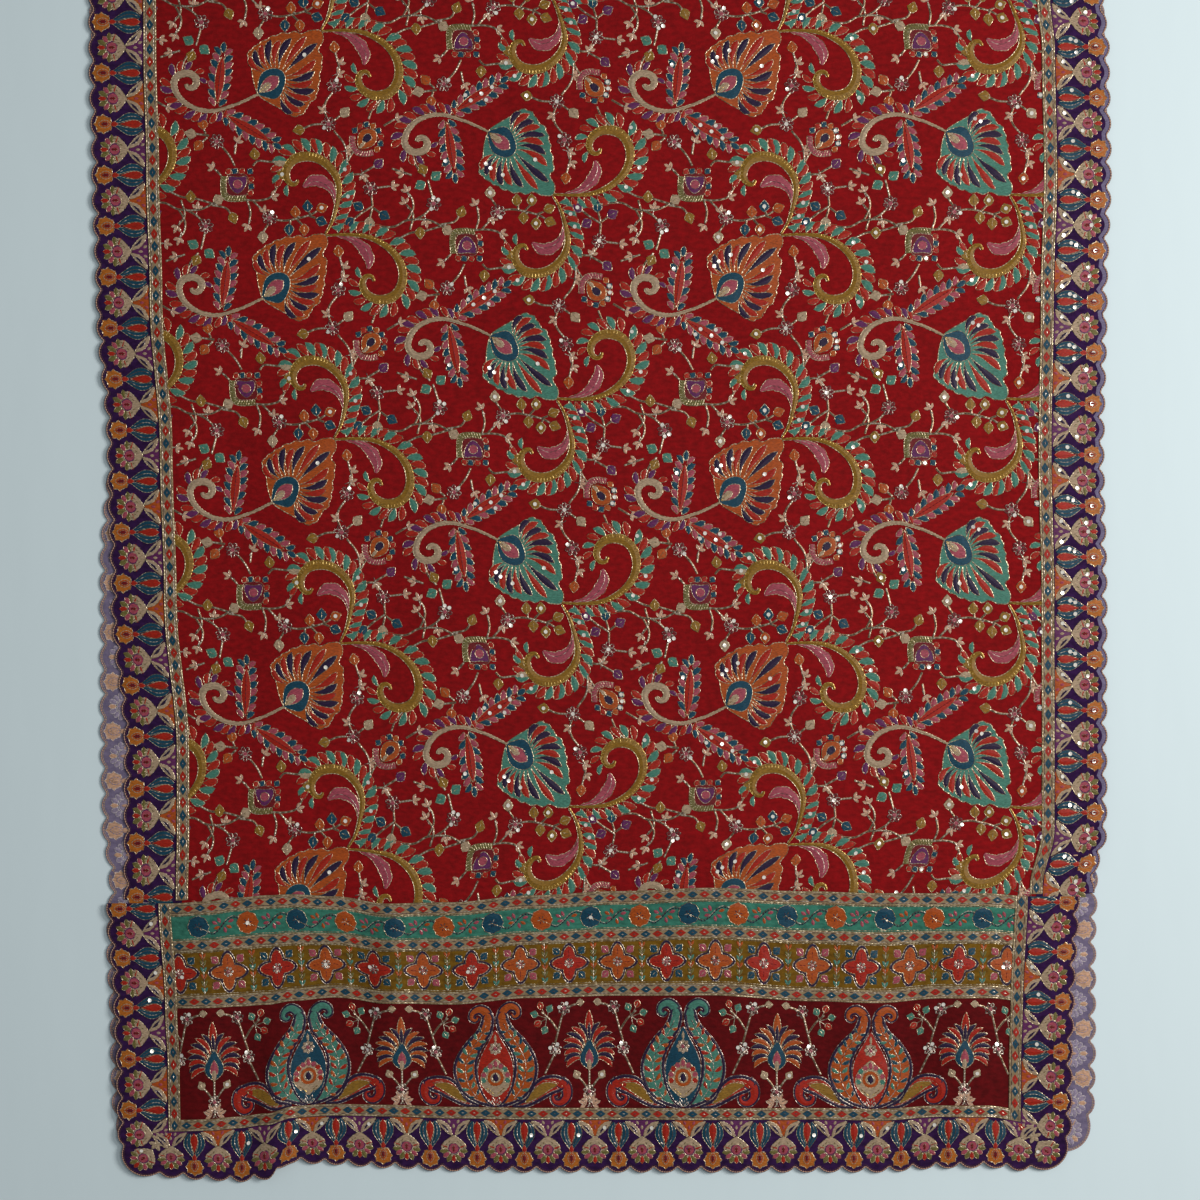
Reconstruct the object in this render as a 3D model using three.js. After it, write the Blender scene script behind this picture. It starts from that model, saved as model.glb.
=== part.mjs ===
// An embroidered dupatta: a long red stole with scalloped purple borders, flat braid trims and a three-band
// end panel (pallu), folded once across its middle and laid on a flat surface with its right side up.
//
// Frame: X across the cloth, Y from the front hem towards the fold, Z up. Millimetres. Z = 0 is the surface
// that the lower half lies on, and the origin is under the middle of the laid cloth.
//
// Every piece is drawn first on the flat cloth, as (u, s): u across from the centre line and s along the
// cloth from the front hem. A lay function then carries a flat point to where the folded cloth holds it.

import * as THREE from 'three';

// ---- sizes of the flat cloth ----
const HALF_LENGTH = 1250; // hem to fold, so the whole cloth is 2.5 m long
const HALF_WIDTH = 476; // centre line to scallop tips
const CLOTH = 1.2; // thickness of every cloth wall
const BRAID = 0.8; // thickness of a braid trim
const SEAM_GAP = 0.3; // between neighbouring pieces

// ---- border and braids ----
const UNIT = 47.4; // one border repeat, two scallops
const SCALLOP = UNIT / 2;
const SCALLOP_DEPTH = 6;
const BRAID_WIDTH = 12;
const BORDER_SEAM_U = 418.5; // the side seam, under the middle of the side braid
const PALLU_LENGTH = 266.6;
const FIELD_START = 262; // the field's end, tucked under the top of the pallu
const FIELD_BRAID_START = 277;
const TUCKED_EDGE_U = 446; // the border's tucked end is trimmed to here, so that the pallu hides it

// The seams between the end panel's bands, from the hem. A braid covers each one.
const END_SEAM_S = 56.8;
const LOWER_SEAM_S = 172.2;
const UPPER_SEAM_S = 225;
const TOP_BRAID_S = 260.6;
const END_BRAID_WIDTH = 11;

// The corner of the scalloped edge is one round lobe.
const CORNER = { u: 448.5, s: 25.6, radius: 23.94 };
const CORNER_EDGE_U = 434.75; // where the lobe meets the first scallop of the hem
const CORNER_EDGE_S = 36.13; // where it meets the first scallop of the side
const HEM_SCALLOPS = 37;

// ---- how the cloth lies ----
const BACK_MID = CLOTH / 2; // height of the lower layer's middle
const FRONT_MID = CLOTH + SEAM_GAP + CLOTH / 2; // and of the upper layer's, where it lies flat
const BEND_RADIUS = 4; // of the soft fold, to the middle of the cloth
const BEND_RISE_LENGTH = 150; // over which the upper layer climbs to the fold
const BEND_LENGTH = Math.PI * BEND_RADIUS;
const BEND_START = HALF_LENGTH - BEND_LENGTH / 2;
const BACK_START = HALF_LENGTH + BEND_LENGTH / 2;
const BRAID_TURN = 1.3; // radians of the fold that the side braids follow
const FIELD_OFFSET = 17; // how far the tucked seam draws the field towards the hem
const PALLU_SHRINK = 0.967; // the gathered end panel is this much shorter than its cut
const BACK_LENGTH = HALF_LENGTH - BEND_LENGTH / 2; // the lower half, hem to the end of the fold
const BACK_SHRINK = 0.972;
const HEM_Y = -611.6; // the front hem's mean line
const CENTRE_X = -0.85; // brings the laid cloth over the origin
const LAP_RISE = 1.8; // the pallu climbs over the field's end by this much
const LAP_FROM = 237;
const LAP_TO = 250;
const DRIFT_FADE = 150; // over this length of the field the seam's waviness dies out
const TUCKED_RIDGE = 0.5; // the field's ridges are this much lower where it is tucked under the pallu
const TUCKED_FADE = 45;

// How wide each part lies, as a share of its cut, and how far its middle is pushed sideways.
const FIELD_LIE = [
  { s: 284, share: 0.948, shift: 9.3 },
  { s: 335, share: 0.96, shift: 15.3 },
  { s: 409, share: 0.96, shift: 15.3 },
  { s: 549, share: 0.973, shift: 9.3 },
  { s: 688, share: 0.974, shift: 6 },
  { s: 828, share: 0.988, shift: 2.3 },
  { s: 949, share: 0.996, shift: 2.3 },
  { s: 1060, share: 0.997, shift: 0 },
  { s: 1107, share: 0.992, shift: -2.3 },
];
const PALLU_LIE = [
  { s: 0, share: 0.93, shift: -3.7 },
  { s: 110, share: 0.933, shift: -4.2 },
  { s: 165, share: 0.938, shift: -4.6 },
  { s: 266, share: 0.95, shift: -5.6 },
];
const BACK_LIE = [
  { s: 0, share: 0.958, shift: 4 },
  { s: 107, share: 0.963, shift: 3.7 },
  { s: 202, share: 0.967, shift: 2 },
  { s: 259, share: 0.966, shift: 4 },
  { s: 316, share: 0.974, shift: 1.4 },
  { s: 415, share: 0.977, shift: 1 },
  { s: 560, share: 0.977, shift: 1 },
  { s: 690, share: 0.969, shift: 5.5 },
  { s: 1000, share: 0.988, shift: 2 },
  { s: 1107, share: 0.992, shift: -2.3 },
];

// How far the pallu's cross lines drift towards the fold, across the cloth, at four of its levels.
const PALLU_DRIFT = [
  { x: -398, hem: -5, end: -11, lower: -7.5, top: -7.4 },
  { x: -365, hem: -7, end: -10, lower: -7, top: -5.6 },
  { x: -335, hem: -9, end: -8, lower: -6, top: -2 },
  { x: -309, hem: -6, end: -4.5, lower: -4.5, top: 0 },
  { x: -286, hem: 9, end: 2, lower: -1, top: 1 },
  { x: -246, hem: 7, end: 3.7, lower: 2.2, top: -1 },
  { x: -199, hem: 4, end: 3, lower: -2.8, top: -7.4 },
  { x: -139, hem: 1, end: 1, lower: -4.4, top: -6.5 },
  { x: -64, hem: 0, end: 0.5, lower: 1.9, top: 0 },
  { x: 19, hem: 0, end: 0, lower: 4, top: 4 },
  { x: 102, hem: 0, end: 0, lower: 5, top: 7.4 },
  { x: 197, hem: 0, end: 0, lower: -1, top: 3.7 },
  { x: 260, hem: 0, end: -1, lower: -2.8, top: 2 },
  { x: 321, hem: 4, end: 2.8, lower: 1.9, top: 1.9 },
  { x: 358, hem: 4.6, end: 2.8, lower: 2, top: 1.9 },
  { x: 400, hem: 1, end: -3, lower: -2, top: -1 },
];

// Soft ridges in the upper layer. Each starts at (x, from), leans sideways by `lean` for each millimetre
// towards the fold, reaches this far to either side, and runs from `from` to `to` above the hem line.
const RIDGES = [
  { x: -440, lean: 0.0, reach: 50, height: 3.0, from: -80, to: 260 },
  { x: -372, lean: 0.01, reach: 46, height: 4.5, from: -80, to: 330 },
  { x: -305, lean: 0.04, reach: 30, height: 6.0, from: -120, to: 200 },
  { x: -197, lean: 0.02, reach: 30, height: 6.0, from: 30, to: 330 },
  { x: -60, lean: 0.0, reach: 70, height: 2.5, from: -60, to: 240 },
  { x: 100, lean: 0.03, reach: 115, height: 6.0, from: -60, to: 420 },
  { x: 228, lean: 0.05, reach: 50, height: 2.5, from: 20, to: 340 },
  { x: 345, lean: -0.03, reach: 52, height: 5.0, from: -80, to: 330 },
  { x: 425, lean: 0.0, reach: 40, height: 2.5, from: -60, to: 300 },
  { x: -395, lean: 0.02, reach: 60, height: 3.0, from: 280, to: 1140 },
  { x: -260, lean: -0.03, reach: 70, height: 2.0, from: 300, to: 900 },
  { x: -145, lean: 0.04, reach: 80, height: 2.4, from: 280, to: 760 },
  { x: 20, lean: -0.05, reach: 90, height: 2.2, from: 400, to: 1160 },
  { x: 170, lean: 0.03, reach: 75, height: 2.6, from: 280, to: 820 },
  { x: 300, lean: -0.02, reach: 70, height: 2.0, from: 480, to: 1180 },
  { x: 420, lean: 0.0, reach: 60, height: 3.4, from: 300, to: 1100 },
];

// ---- helpers for the lie ----
function smooth(share) {
  const t = Math.min(Math.max(share, 0), 1);
  return t * t * (3 - 2 * t);
}

function bell(distance, reach) {
  return Math.abs(distance) < reach ? 0.5 + 0.5 * Math.cos((Math.PI * distance) / reach) : 0;
}

// The value of a table's column at a place along its key, eased between rows.
function fromTable(table, key, at, column) {
  const next = table.findIndex((row) => row[key] >= at);
  if (next === 0) return table[0][column];
  if (next < 0) return table[table.length - 1][column];
  const [a, b] = [table[next - 1], table[next]];
  return a[column] + (b[column] - a[column]) * smooth((at - a[key]) / (b[key] - a[key]));
}

function across(table, u, s) {
  return CENTRE_X + u * fromTable(table, 's', s, 'share') + fromTable(table, 's', s, 'shift');
}

// The pallu's drift at a place across and a distance from the hem.
function drift(x, s) {
  const levels = [
    { s: 0, value: fromTable(PALLU_DRIFT, 'x', x, 'hem') },
    { s: END_SEAM_S, value: fromTable(PALLU_DRIFT, 'x', x, 'end') },
    { s: LOWER_SEAM_S, value: fromTable(PALLU_DRIFT, 'x', x, 'lower') },
    { s: TOP_BRAID_S, value: fromTable(PALLU_DRIFT, 'x', x, 'top') },
  ];
  return fromTable(levels, 's', s, 'value');
}

function ridgeHeight(x, fromHem) {
  let height = 0;
  for (const ridge of RIDGES) {
    const middle = (ridge.from + ridge.to) / 2;
    const along = bell(fromHem - middle, (ridge.to - ridge.from) / 2);
    height += ridge.height * along * bell(x - ridge.x - ridge.lean * (fromHem - ridge.from), ridge.reach);
  }
  return height;
}

// ---- where the laid cloth holds a flat point ----
function holdField(u, s) {
  const x = across(FIELD_LIE, u, s);
  if (s > BEND_START) {
    const angle = Math.min(s - BEND_START, BEND_LENGTH) / BEND_RADIUS;
    const past = Math.max(s - BACK_START, 0);
    const y = BEND_START - FIELD_OFFSET + BEND_RADIUS * Math.sin(angle) - past;
    return new THREE.Vector3(x, y + HEM_Y, BACK_MID + BEND_RADIUS * (1 + Math.cos(angle)));
  }
  const y = s - FIELD_OFFSET + drift(x, PALLU_LENGTH) * (1 - smooth((s - FIELD_START) / DRIFT_FADE));
  const climb = smooth((s - BEND_START + BEND_RISE_LENGTH) / BEND_RISE_LENGTH);
  const bendRise = BACK_MID + 2 * BEND_RADIUS - FRONT_MID;
  const tucked = TUCKED_RIDGE + (1 - TUCKED_RIDGE) * smooth((s - FIELD_BRAID_START) / TUCKED_FADE);
  const z = FRONT_MID + bendRise * climb + ridgeHeight(x, y) * tucked * (1 - climb);
  return new THREE.Vector3(x, y + HEM_Y, z);
}

function holdPallu(u, s) {
  const x = across(PALLU_LIE, u, s);
  const y = s * PALLU_SHRINK + drift(x, s);
  const lap = LAP_RISE * smooth((s - LAP_FROM) / (LAP_TO - LAP_FROM));
  return new THREE.Vector3(x, y + HEM_Y, FRONT_MID + lap + ridgeHeight(x, y));
}

// The lower half is measured from its own hem, and lies flat with its wrong side up.
function holdBack(u, s) {
  const y = BEND_START - FIELD_OFFSET - (BACK_LENGTH - s) * BACK_SHRINK;
  return new THREE.Vector3(across(BACK_LIE, u, s), y + HEM_Y, BACK_MID);
}

function steps(from, to, count) {
  return Array.from({ length: count + 1 }, (_, i) => from + ((to - from) * i) / count);
}

function cellOf(edges, value) {
  const next = edges.findIndex((edge) => edge > value);
  return next < 0 ? edges.length - 2 : Math.max(next - 1, 0);
}

// The same hold, straight between the lines of a grid, so that neighbouring pieces meet along their seams.
function faceted(hold, columns, levels) {
  return (u, s) => {
    const [i, j] = [cellOf(columns, u), cellOf(levels, s)];
    const shareU = (u - columns[i]) / (columns[i + 1] - columns[i]);
    const shareS = (s - levels[j]) / (levels[j + 1] - levels[j]);
    const low = hold(columns[i], levels[j]).lerp(hold(columns[i + 1], levels[j]), shareU);
    const high = hold(columns[i], levels[j + 1]).lerp(hold(columns[i + 1], levels[j + 1]), shareU);
    return low.lerp(high, shareS);
  };
}

const BRAID_INNER_U = BORDER_SEAM_U - BRAID_WIDTH / 2;
const FIELD_COLUMNS = [-BORDER_SEAM_U, ...steps(-BRAID_INNER_U, BRAID_INNER_U, 26), BORDER_SEAM_U];
const FIELD_LEVELS = [FIELD_START, FIELD_BRAID_START, ...steps(300, BEND_START - BEND_RISE_LENGTH, 18),
  ...steps(BEND_START - BEND_RISE_LENGTH, BEND_START, 5).slice(1),
  ...steps(BEND_START, BACK_START, 6).slice(1)];
const PALLU_COLUMNS = [-BORDER_SEAM_U, ...steps(-BRAID_INNER_U, -332, 4), ...steps(-332, -176, 12).slice(1),
  ...steps(-176, BRAID_INNER_U, 25).slice(1), BORDER_SEAM_U];
const PANEL_LEVELS = [END_SEAM_S + SEAM_GAP, 62.3, 96, 131, 166.2, LOWER_SEAM_S];
const MUSTARD_LEVELS = [LOWER_SEAM_S + SEAM_GAP, 178.2, 199, 219.5, UPPER_SEAM_S];
const GREEN_LEVELS = [UPPER_SEAM_S + SEAM_GAP, 230.5, LAP_FROM, 243.5, LAP_TO, 254.6, PALLU_LENGTH];
const BACK_LEVELS = [0, 54, 107, 155, 202, 230, 259, 288, 316, 349, 382, 415, ...steps(560, 690, 4),
  ...steps(690, 1000, 6).slice(1), 1036, 1072, 1107, BACK_LENGTH];
const layField = faceted(holdField, [-HALF_WIDTH, ...FIELD_COLUMNS, HALF_WIDTH], FIELD_LEVELS);
const PALLU_LEVELS = [0, 28, ...PANEL_LEVELS, ...MUSTARD_LEVELS.slice(1), ...GREEN_LEVELS.slice(1)];
const layPallu = faceted(holdPallu, [-HALF_WIDTH, ...PALLU_COLUMNS, HALF_WIDTH], PALLU_LEVELS);
const layBack = faceted(holdBack, [-HALF_WIDTH, 0, HALF_WIDTH], BACK_LEVELS);

// ---- solids ----
// The cloth's upward normal at a flat point, from its neighbours.
function normalAt(lay, u, s) {
  const step = 1.5;
  const overU = lay(u + step, s).sub(lay(u - step, s));
  const overS = lay(u, s + step).sub(lay(u, s - step));
  return overU.cross(overS).normalize();
}

// A closed wall over rows of flat points, rows[i][j] = [u, s], lying from `low` to `high` along the normal.
function wall(lay, rows, low, high) {
  const positions = [];
  const known = new Map();
  const corner = (point) => {
    const key = point.map((value) => value.toFixed(4)).join();
    if (!known.has(key)) {
      const middle = lay(...point);
      const normal = normalAt(lay, ...point);
      positions.push(middle.clone().addScaledVector(normal, high), middle.addScaledVector(normal, low));
      known.set(key, positions.length - 2);
    }
    return known.get(key);
  };
  const grid = rows.map((row) => row.map(corner));
  const index = [];
  const triangle = (a, b, c) => {
    if (a !== b && b !== c && c !== a) index.push(a, b, c);
  };
  const quad = (a, b, c, d) => {
    triangle(a, b, c);
    triangle(a, c, d);
  };
  const last = rows[0].length - 1;
  for (let i = 0; i + 1 < grid.length; i += 1) {
    for (let j = 0; j < last; j += 1) {
      const [a, b, c, d] = [grid[i][j], grid[i][j + 1], grid[i + 1][j + 1], grid[i + 1][j]];
      quad(a, b, c, d);
      quad(d + 1, c + 1, b + 1, a + 1);
    }
    quad(grid[i][0] + 1, grid[i][0], grid[i + 1][0], grid[i + 1][0] + 1);
    quad(grid[i][last], grid[i][last] + 1, grid[i + 1][last] + 1, grid[i + 1][last]);
  }
  const end = grid.length - 1;
  for (let j = 0; j < last; j += 1) {
    quad(grid[0][j], grid[0][j] + 1, grid[0][j + 1] + 1, grid[0][j + 1]);
    quad(grid[end][j] + 1, grid[end][j], grid[end][j + 1], grid[end][j + 1] + 1);
  }
  const geometry = new THREE.BufferGeometry();
  const flat = positions.flatMap((p) => [p.x, p.y, p.z]);
  geometry.setAttribute('position', new THREE.Float32BufferAttribute(flat, 3));
  geometry.setIndex(index);
  geometry.computeVertexNormals();
  return geometry;
}

function gridRows(columns, levels) {
  return levels.map((s) => columns.map((u) => [u, s]));
}

// How far the scalloped edge stands out past its notches, at a share of one scallop.
function scallopRise(share) {
  const half = SCALLOP / 2;
  const radius = (half * half + SCALLOP_DEPTH * SCALLOP_DEPTH) / (2 * SCALLOP_DEPTH);
  const offset = (share - 0.5) * SCALLOP;
  return Math.sqrt(radius * radius - offset * offset) - (radius - SCALLOP_DEPTH);
}

// The places along an edge: its scallops' steps and the lines that the lay is straight between.
function mergeStations(scallopSteps, lines) {
  const clear = scallopSteps.filter((at) => lines.every((line) => Math.abs(line - at) > 1.2));
  return [...clear, ...lines].sort((a, b) => a - b);
}

// Stations along a scalloped side, each [s, distance of the edge from the centre line].
function sideStations(from, to, phase, perScallop, layLevels) {
  const step = SCALLOP / perScallop;
  const first = Math.ceil((from - phase) / step);
  const count = Math.floor((to - phase) / step) - first;
  const between = steps(phase + first * step, phase + (first + count) * step, count);
  const lines = [from, ...layLevels.filter((s) => s > from + 0.5 && s < to - 0.5), to];
  return mergeStations(between, lines).map((s) => {
    const share = ((((s - phase) / SCALLOP) % 1) + 1) % 1;
    return [s, HALF_WIDTH - SCALLOP_DEPTH + scallopRise(share)];
  });
}

// Rows of a side border, from its seam to its scalloped edge. side is -1 on the left and 1 on the right.
function sideBorderRows(side, stations) {
  return stations.map(([s, edge]) => {
    const row = [[side * (BORDER_SEAM_U + SEAM_GAP), s], [side * edge, s]];
    return side < 0 ? row.reverse() : row;
  });
}

// Rows of the end border, which runs down the right side, along the hem and up the left side.
function endBorderRows(top, perScallop, layColumns, layLevels) {
  const innerU = BORDER_SEAM_U + SEAM_GAP;
  const side = sideStations(CORNER_EDGE_S, top, CORNER_EDGE_S, perScallop, layLevels);
  const right = side.map(([s, edge]) => [[edge, s], [innerU, Math.max(s, END_SEAM_S)]]).reverse();
  const startAngle = Math.atan2(CORNER_EDGE_S - CORNER.s, HALF_WIDTH - SCALLOP_DEPTH - CORNER.u);
  const endAngle = -Math.PI + Math.atan2(CORNER.s - SCALLOP_DEPTH, CORNER.u - CORNER_EDGE_U);
  const lobe = steps(startAngle, endAngle, 2 * perScallop).slice(1, -1).map((angle) => {
    const outer = [CORNER.u + CORNER.radius * Math.cos(angle), CORNER.s + CORNER.radius * Math.sin(angle)];
    return [outer, [innerU, END_SEAM_S]];
  });
  const hemPitch = (2 * CORNER_EDGE_U) / HEM_SCALLOPS;
  const hemSteps = steps(-CORNER_EDGE_U, CORNER_EDGE_U, HEM_SCALLOPS * perScallop);
  const hem = mergeStations(hemSteps, layColumns).reverse().map((u) => {
    const share = ((((u + CORNER_EDGE_U) / hemPitch) % 1) + 1) % 1;
    return [[u, SCALLOP_DEPTH - scallopRise(share)], [Math.min(Math.max(u, -innerU), innerU), END_SEAM_S]];
  });
  const left = [...right, ...lobe].map((row) => row.map(([u, s]) => [-u, s])).reverse();
  return [...right, ...lobe, ...hem, ...left];
}

// ---- materials ----
function clothOf(hex, roughness) {
  return new THREE.MeshStandardMaterial({ color: hex, roughness, metalness: 0 });
}
const crimson = clothOf(0x8e1420, 0.75);
const aubergine = clothOf(0x3a1f4d, 0.8);
const wrongSide = clothOf(0x8d82ab, 0.85);
const seaGreen = clothOf(0x3f8f78, 0.75);
const mustard = clothOf(0x9a7420, 0.75);
const braidCream = clothOf(0xb9a587, 0.6);

const dupatta = new THREE.Group();

function addPiece(name, lay, rows, material, low = -CLOTH / 2, high = CLOTH / 2) {
  const mesh = new THREE.Mesh(wall(lay, rows, low, high), material);
  mesh.name = name;
  dupatta.add(mesh);
}

// ---- the lower half, wrong side up ----
const BACK_TOP = BACK_LENGTH - SEAM_GAP;
const BACK_COLUMNS = [-BORDER_SEAM_U, 0, BORDER_SEAM_U];
const BACK_STEPS = 2; // edge segments to a scallop
const backLevelsBetween = (from, to) => [from, ...BACK_LEVELS.filter((s) => s > from + 2 && s < to - 2), to];
const fieldBackLevels = backLevelsBetween(PALLU_LENGTH + SEAM_GAP, BACK_TOP);
const palluBackLevels = backLevelsBetween(END_SEAM_S + SEAM_GAP, PALLU_LENGTH);
addPiece('field_back', layBack, gridRows(BACK_COLUMNS, fieldBackLevels), crimson);
addPiece('pallu_back', layBack, gridRows(BACK_COLUMNS, palluBackLevels), crimson);
addPiece('pallu_border_back', layBack, endBorderRows(PALLU_LENGTH, BACK_STEPS, [0], BACK_LEVELS), wrongSide);
for (const [side, word] of [[-1, 'left'], [1, 'right']]) {
  const stations = sideStations(PALLU_LENGTH + SEAM_GAP, BACK_TOP, CORNER_EDGE_S, BACK_STEPS, BACK_LEVELS);
  addPiece(`border_${word}_back`, layBack, sideBorderRows(side, stations), wrongSide);
}

// ---- the upper half: the field with its side borders and braids ----
const ON_TOP = CLOTH / 2 + SEAM_GAP; // a braid lies this far above the middle of its cloth
const FRONT_STEPS = 4;
const braidEnd = BEND_START + BEND_RADIUS * BRAID_TURN;
const sideBraidColumns = (side) => [-1, 0, 1].map((edge) => side * BORDER_SEAM_U + (edge * BRAID_WIDTH) / 2);
addPiece('field_front', layField, gridRows(FIELD_COLUMNS, FIELD_LEVELS), crimson);
for (const [side, word, phase] of [[-1, 'left', 31.25], [1, 'right', 8.25]]) {
  const stations = sideStations(FIELD_START, BEND_START, phase, FRONT_STEPS, FIELD_LEVELS);
  const trimmed = stations.map(([s, edge]) => [s, s < FIELD_BRAID_START - 1 ? TUCKED_EDGE_U : edge]);
  const bend = FIELD_LEVELS.filter((s) => s > BEND_START).map((s) => [s, stations.at(-1)[1]]);
  addPiece(`border_${word}_front`, layField, sideBorderRows(side, [...trimmed, ...bend]), aubergine);
  const levels = [...FIELD_LEVELS.filter((s) => s >= FIELD_BRAID_START && s < braidEnd), braidEnd];
  addPiece(`braid_${word}_front`, layField, gridRows(sideBraidColumns(side), levels), braidCream,
    ON_TOP, ON_TOP + BRAID);
}

// ---- the pallu: three bands, its border and its braids ----
addPiece('pallu_panel', layPallu, gridRows(PALLU_COLUMNS, PANEL_LEVELS), crimson);
addPiece('pallu_mustard', layPallu, gridRows(PALLU_COLUMNS, MUSTARD_LEVELS), mustard);
addPiece('pallu_green', layPallu, gridRows(PALLU_COLUMNS, GREEN_LEVELS), seaGreen);
const palluBorderRows = endBorderRows(PALLU_LENGTH, FRONT_STEPS, PALLU_COLUMNS, PALLU_LEVELS);
addPiece('pallu_border', layPallu, palluBorderRows, aubergine);
const crossBraids = [
  { name: 'braid_end', s: END_SEAM_S, width: END_BRAID_WIDTH },
  { name: 'braid_lower', s: LOWER_SEAM_S, width: BRAID_WIDTH },
  { name: 'braid_upper', s: UPPER_SEAM_S, width: END_BRAID_WIDTH },
  { name: 'braid_top', s: TOP_BRAID_S, width: BRAID_WIDTH },
];
const crossColumns = [-BRAID_INNER_U + SEAM_GAP, ...PALLU_COLUMNS.slice(2, -2), BRAID_INNER_U - SEAM_GAP];
for (const { name, s, width } of crossBraids) {
  const levels = [s - width / 2, s + width / 2];
  addPiece(name, layPallu, gridRows(crossColumns, levels), braidCream, ON_TOP, ON_TOP + BRAID);
}
const palluBraidLevels = [END_SEAM_S - END_BRAID_WIDTH / 2, ...PANEL_LEVELS.slice(1),
  ...MUSTARD_LEVELS.slice(1), ...GREEN_LEVELS.slice(1)];
for (const [side, word] of [[-1, 'left'], [1, 'right']]) {
  addPiece(`braid_pallu_${word}`, layPallu, gridRows(sideBraidColumns(side), palluBraidLevels), braidCream,
    ON_TOP, ON_TOP + BRAID);
}

export default dupatta;
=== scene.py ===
"""An embroidered dupatta, folded once across its middle and laid flat with its right side up.

Every piece is drawn first on the flat cloth, in millimetres: u across from the centre line, s along the
cloth from the front hem, and a height above the cloth. A lay then carries it to where the folded cloth
holds it.
"""

import logging
import math
from dataclasses import dataclass, field
from enum import Enum
from typing import Callable, Sequence

import bpy
import numpy as np
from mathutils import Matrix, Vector
from mathutils.geometry import delaunay_2d_cdt

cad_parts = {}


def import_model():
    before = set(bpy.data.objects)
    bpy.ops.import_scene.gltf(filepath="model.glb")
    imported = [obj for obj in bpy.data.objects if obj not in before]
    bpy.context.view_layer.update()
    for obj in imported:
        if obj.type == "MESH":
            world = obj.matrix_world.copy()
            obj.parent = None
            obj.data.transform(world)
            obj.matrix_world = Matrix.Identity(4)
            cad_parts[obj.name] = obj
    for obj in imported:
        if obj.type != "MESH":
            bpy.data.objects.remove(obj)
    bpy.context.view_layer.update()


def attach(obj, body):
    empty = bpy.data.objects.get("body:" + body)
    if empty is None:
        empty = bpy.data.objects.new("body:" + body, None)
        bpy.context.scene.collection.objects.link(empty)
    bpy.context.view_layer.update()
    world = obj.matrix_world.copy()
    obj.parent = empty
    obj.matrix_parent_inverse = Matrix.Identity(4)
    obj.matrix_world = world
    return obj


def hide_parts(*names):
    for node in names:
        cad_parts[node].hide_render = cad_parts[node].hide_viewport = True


LOG = logging.getLogger("dupatta")
MM = 0.001

HALF_LENGTH = 1250.0
HALF_WIDTH = 476.0
CLOTH = 1.2
UNIT = 47.4
SCALLOP = UNIT / 2
SCALLOP_DEPTH = 6.0
BRAID_WIDTH = 12.0
SEAM_U = 418.5
SEAM_GAP = 0.3
PALLU_LENGTH = 266.6
FIELD_START = 262.0
FIELD_BRAID_START = 277.0
TUCKED_EDGE_U = 446.0
END_SEAM, LOWER_SEAM, UPPER_SEAM, TOP_BRAID = 56.8, 172.2, 225.0, 260.6
END_BRAID_WIDTH = 11.0
CORNER_U, CORNER_S, CORNER_RADIUS = 448.5, 25.6, 23.94
CORNER_EDGE_U, CORNER_EDGE_S = 434.75, 36.13
HEM_SCALLOPS = 37
LEFT_PHASE, RIGHT_PHASE = 31.25, 8.25

BACK_MID = CLOTH / 2
FRONT_MID = CLOTH * 1.5 + SEAM_GAP
BEND_RADIUS = 4.0
BEND_RISE_LENGTH = 150.0
BEND_LENGTH = math.pi * BEND_RADIUS
BEND_START = HALF_LENGTH - BEND_LENGTH / 2
BACK_START = HALF_LENGTH + BEND_LENGTH / 2
BRAID_TURN = 1.3
BRAID_END = BEND_START + BEND_RADIUS * BRAID_TURN
BACK_LENGTH = HALF_LENGTH - BEND_LENGTH / 2
HEM_Y, CENTRE_X = -611.6, -0.85

# how the laid field starts: its offset, and where the pallu's drift, the tucked seam and the crinkle fade
FIELD_OFFSET, DRIFT_FADE = 17.0, 150.0
TUCKED_RIDGE, TUCKED_FADE = 0.5, 45.0
CRINKLE_START, CRINKLE_FADE, CRINKLE_LIFT = 276.0, 20.0, 0.25
# how far the pallu and the lower half are gathered lengthways, and the pallu's step over the field's end
PALLU_GATHER, BACK_GATHER, PALLU_CRINKLE = 0.967, 0.972, 0.7
LAP_START, LAP_LENGTH, LAP_RISE = 237.0, 13.0, 1.8
# the field's repeat: one group's place, the pitches, how far off the turned group is, and where groups end
REPEAT_U, REPEAT_S = -258.3, 888.4
REPEAT_PITCH_U, REPEAT_PITCH_S = 426.6, 189.6
TURNED_U, TURNED_S = 213.3, 36.6
REPEAT_LEFT, REPEAT_RIGHT, REPEAT_LOW, REPEAT_HIGH = 580.0, 640.0, 60.0, 1460.0
# where the field's sewing is split in two pieces, and how far the lower half's sewing can be seen
FIELD_SPLIT, BACK_SHOWN = 760.0, 780.0
# half the width of what is sewn on the pallu's bands, and of their edge lines
BAND_HALF_U, BAND_LINE_U = 412.8, 412.0
# the flat width of the pallu's border, and its length along its middle
PALLU_BORDER_FLAT = (53, 1380)
SEQUIN_RADIUS = 1.9
BACK_CELL = 16.0

# s, share of the cut width, sideways shift
FIELD_LIE = np.array([
    (284, 0.948, 9.3), (335, 0.96, 15.3), (409, 0.96, 15.3), (549, 0.973, 9.3), (688, 0.974, 6),
    (828, 0.988, 2.3), (949, 0.996, 2.3), (1060, 0.997, 0), (1107, 0.992, -2.3),
])
PALLU_LIE = np.array([(0, 0.93, -3.7), (110, 0.933, -4.2), (165, 0.938, -4.6), (266, 0.95, -5.6)])
BACK_LIE = np.array([
    (0, 0.958, 4), (107, 0.963, 3.7), (202, 0.967, 2), (259, 0.966, 4), (316, 0.974, 1.4), (415, 0.977, 1),
    (560, 0.977, 1), (690, 0.969, 5.5), (1000, 0.988, 2), (1107, 0.992, -2.3),
])
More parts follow.
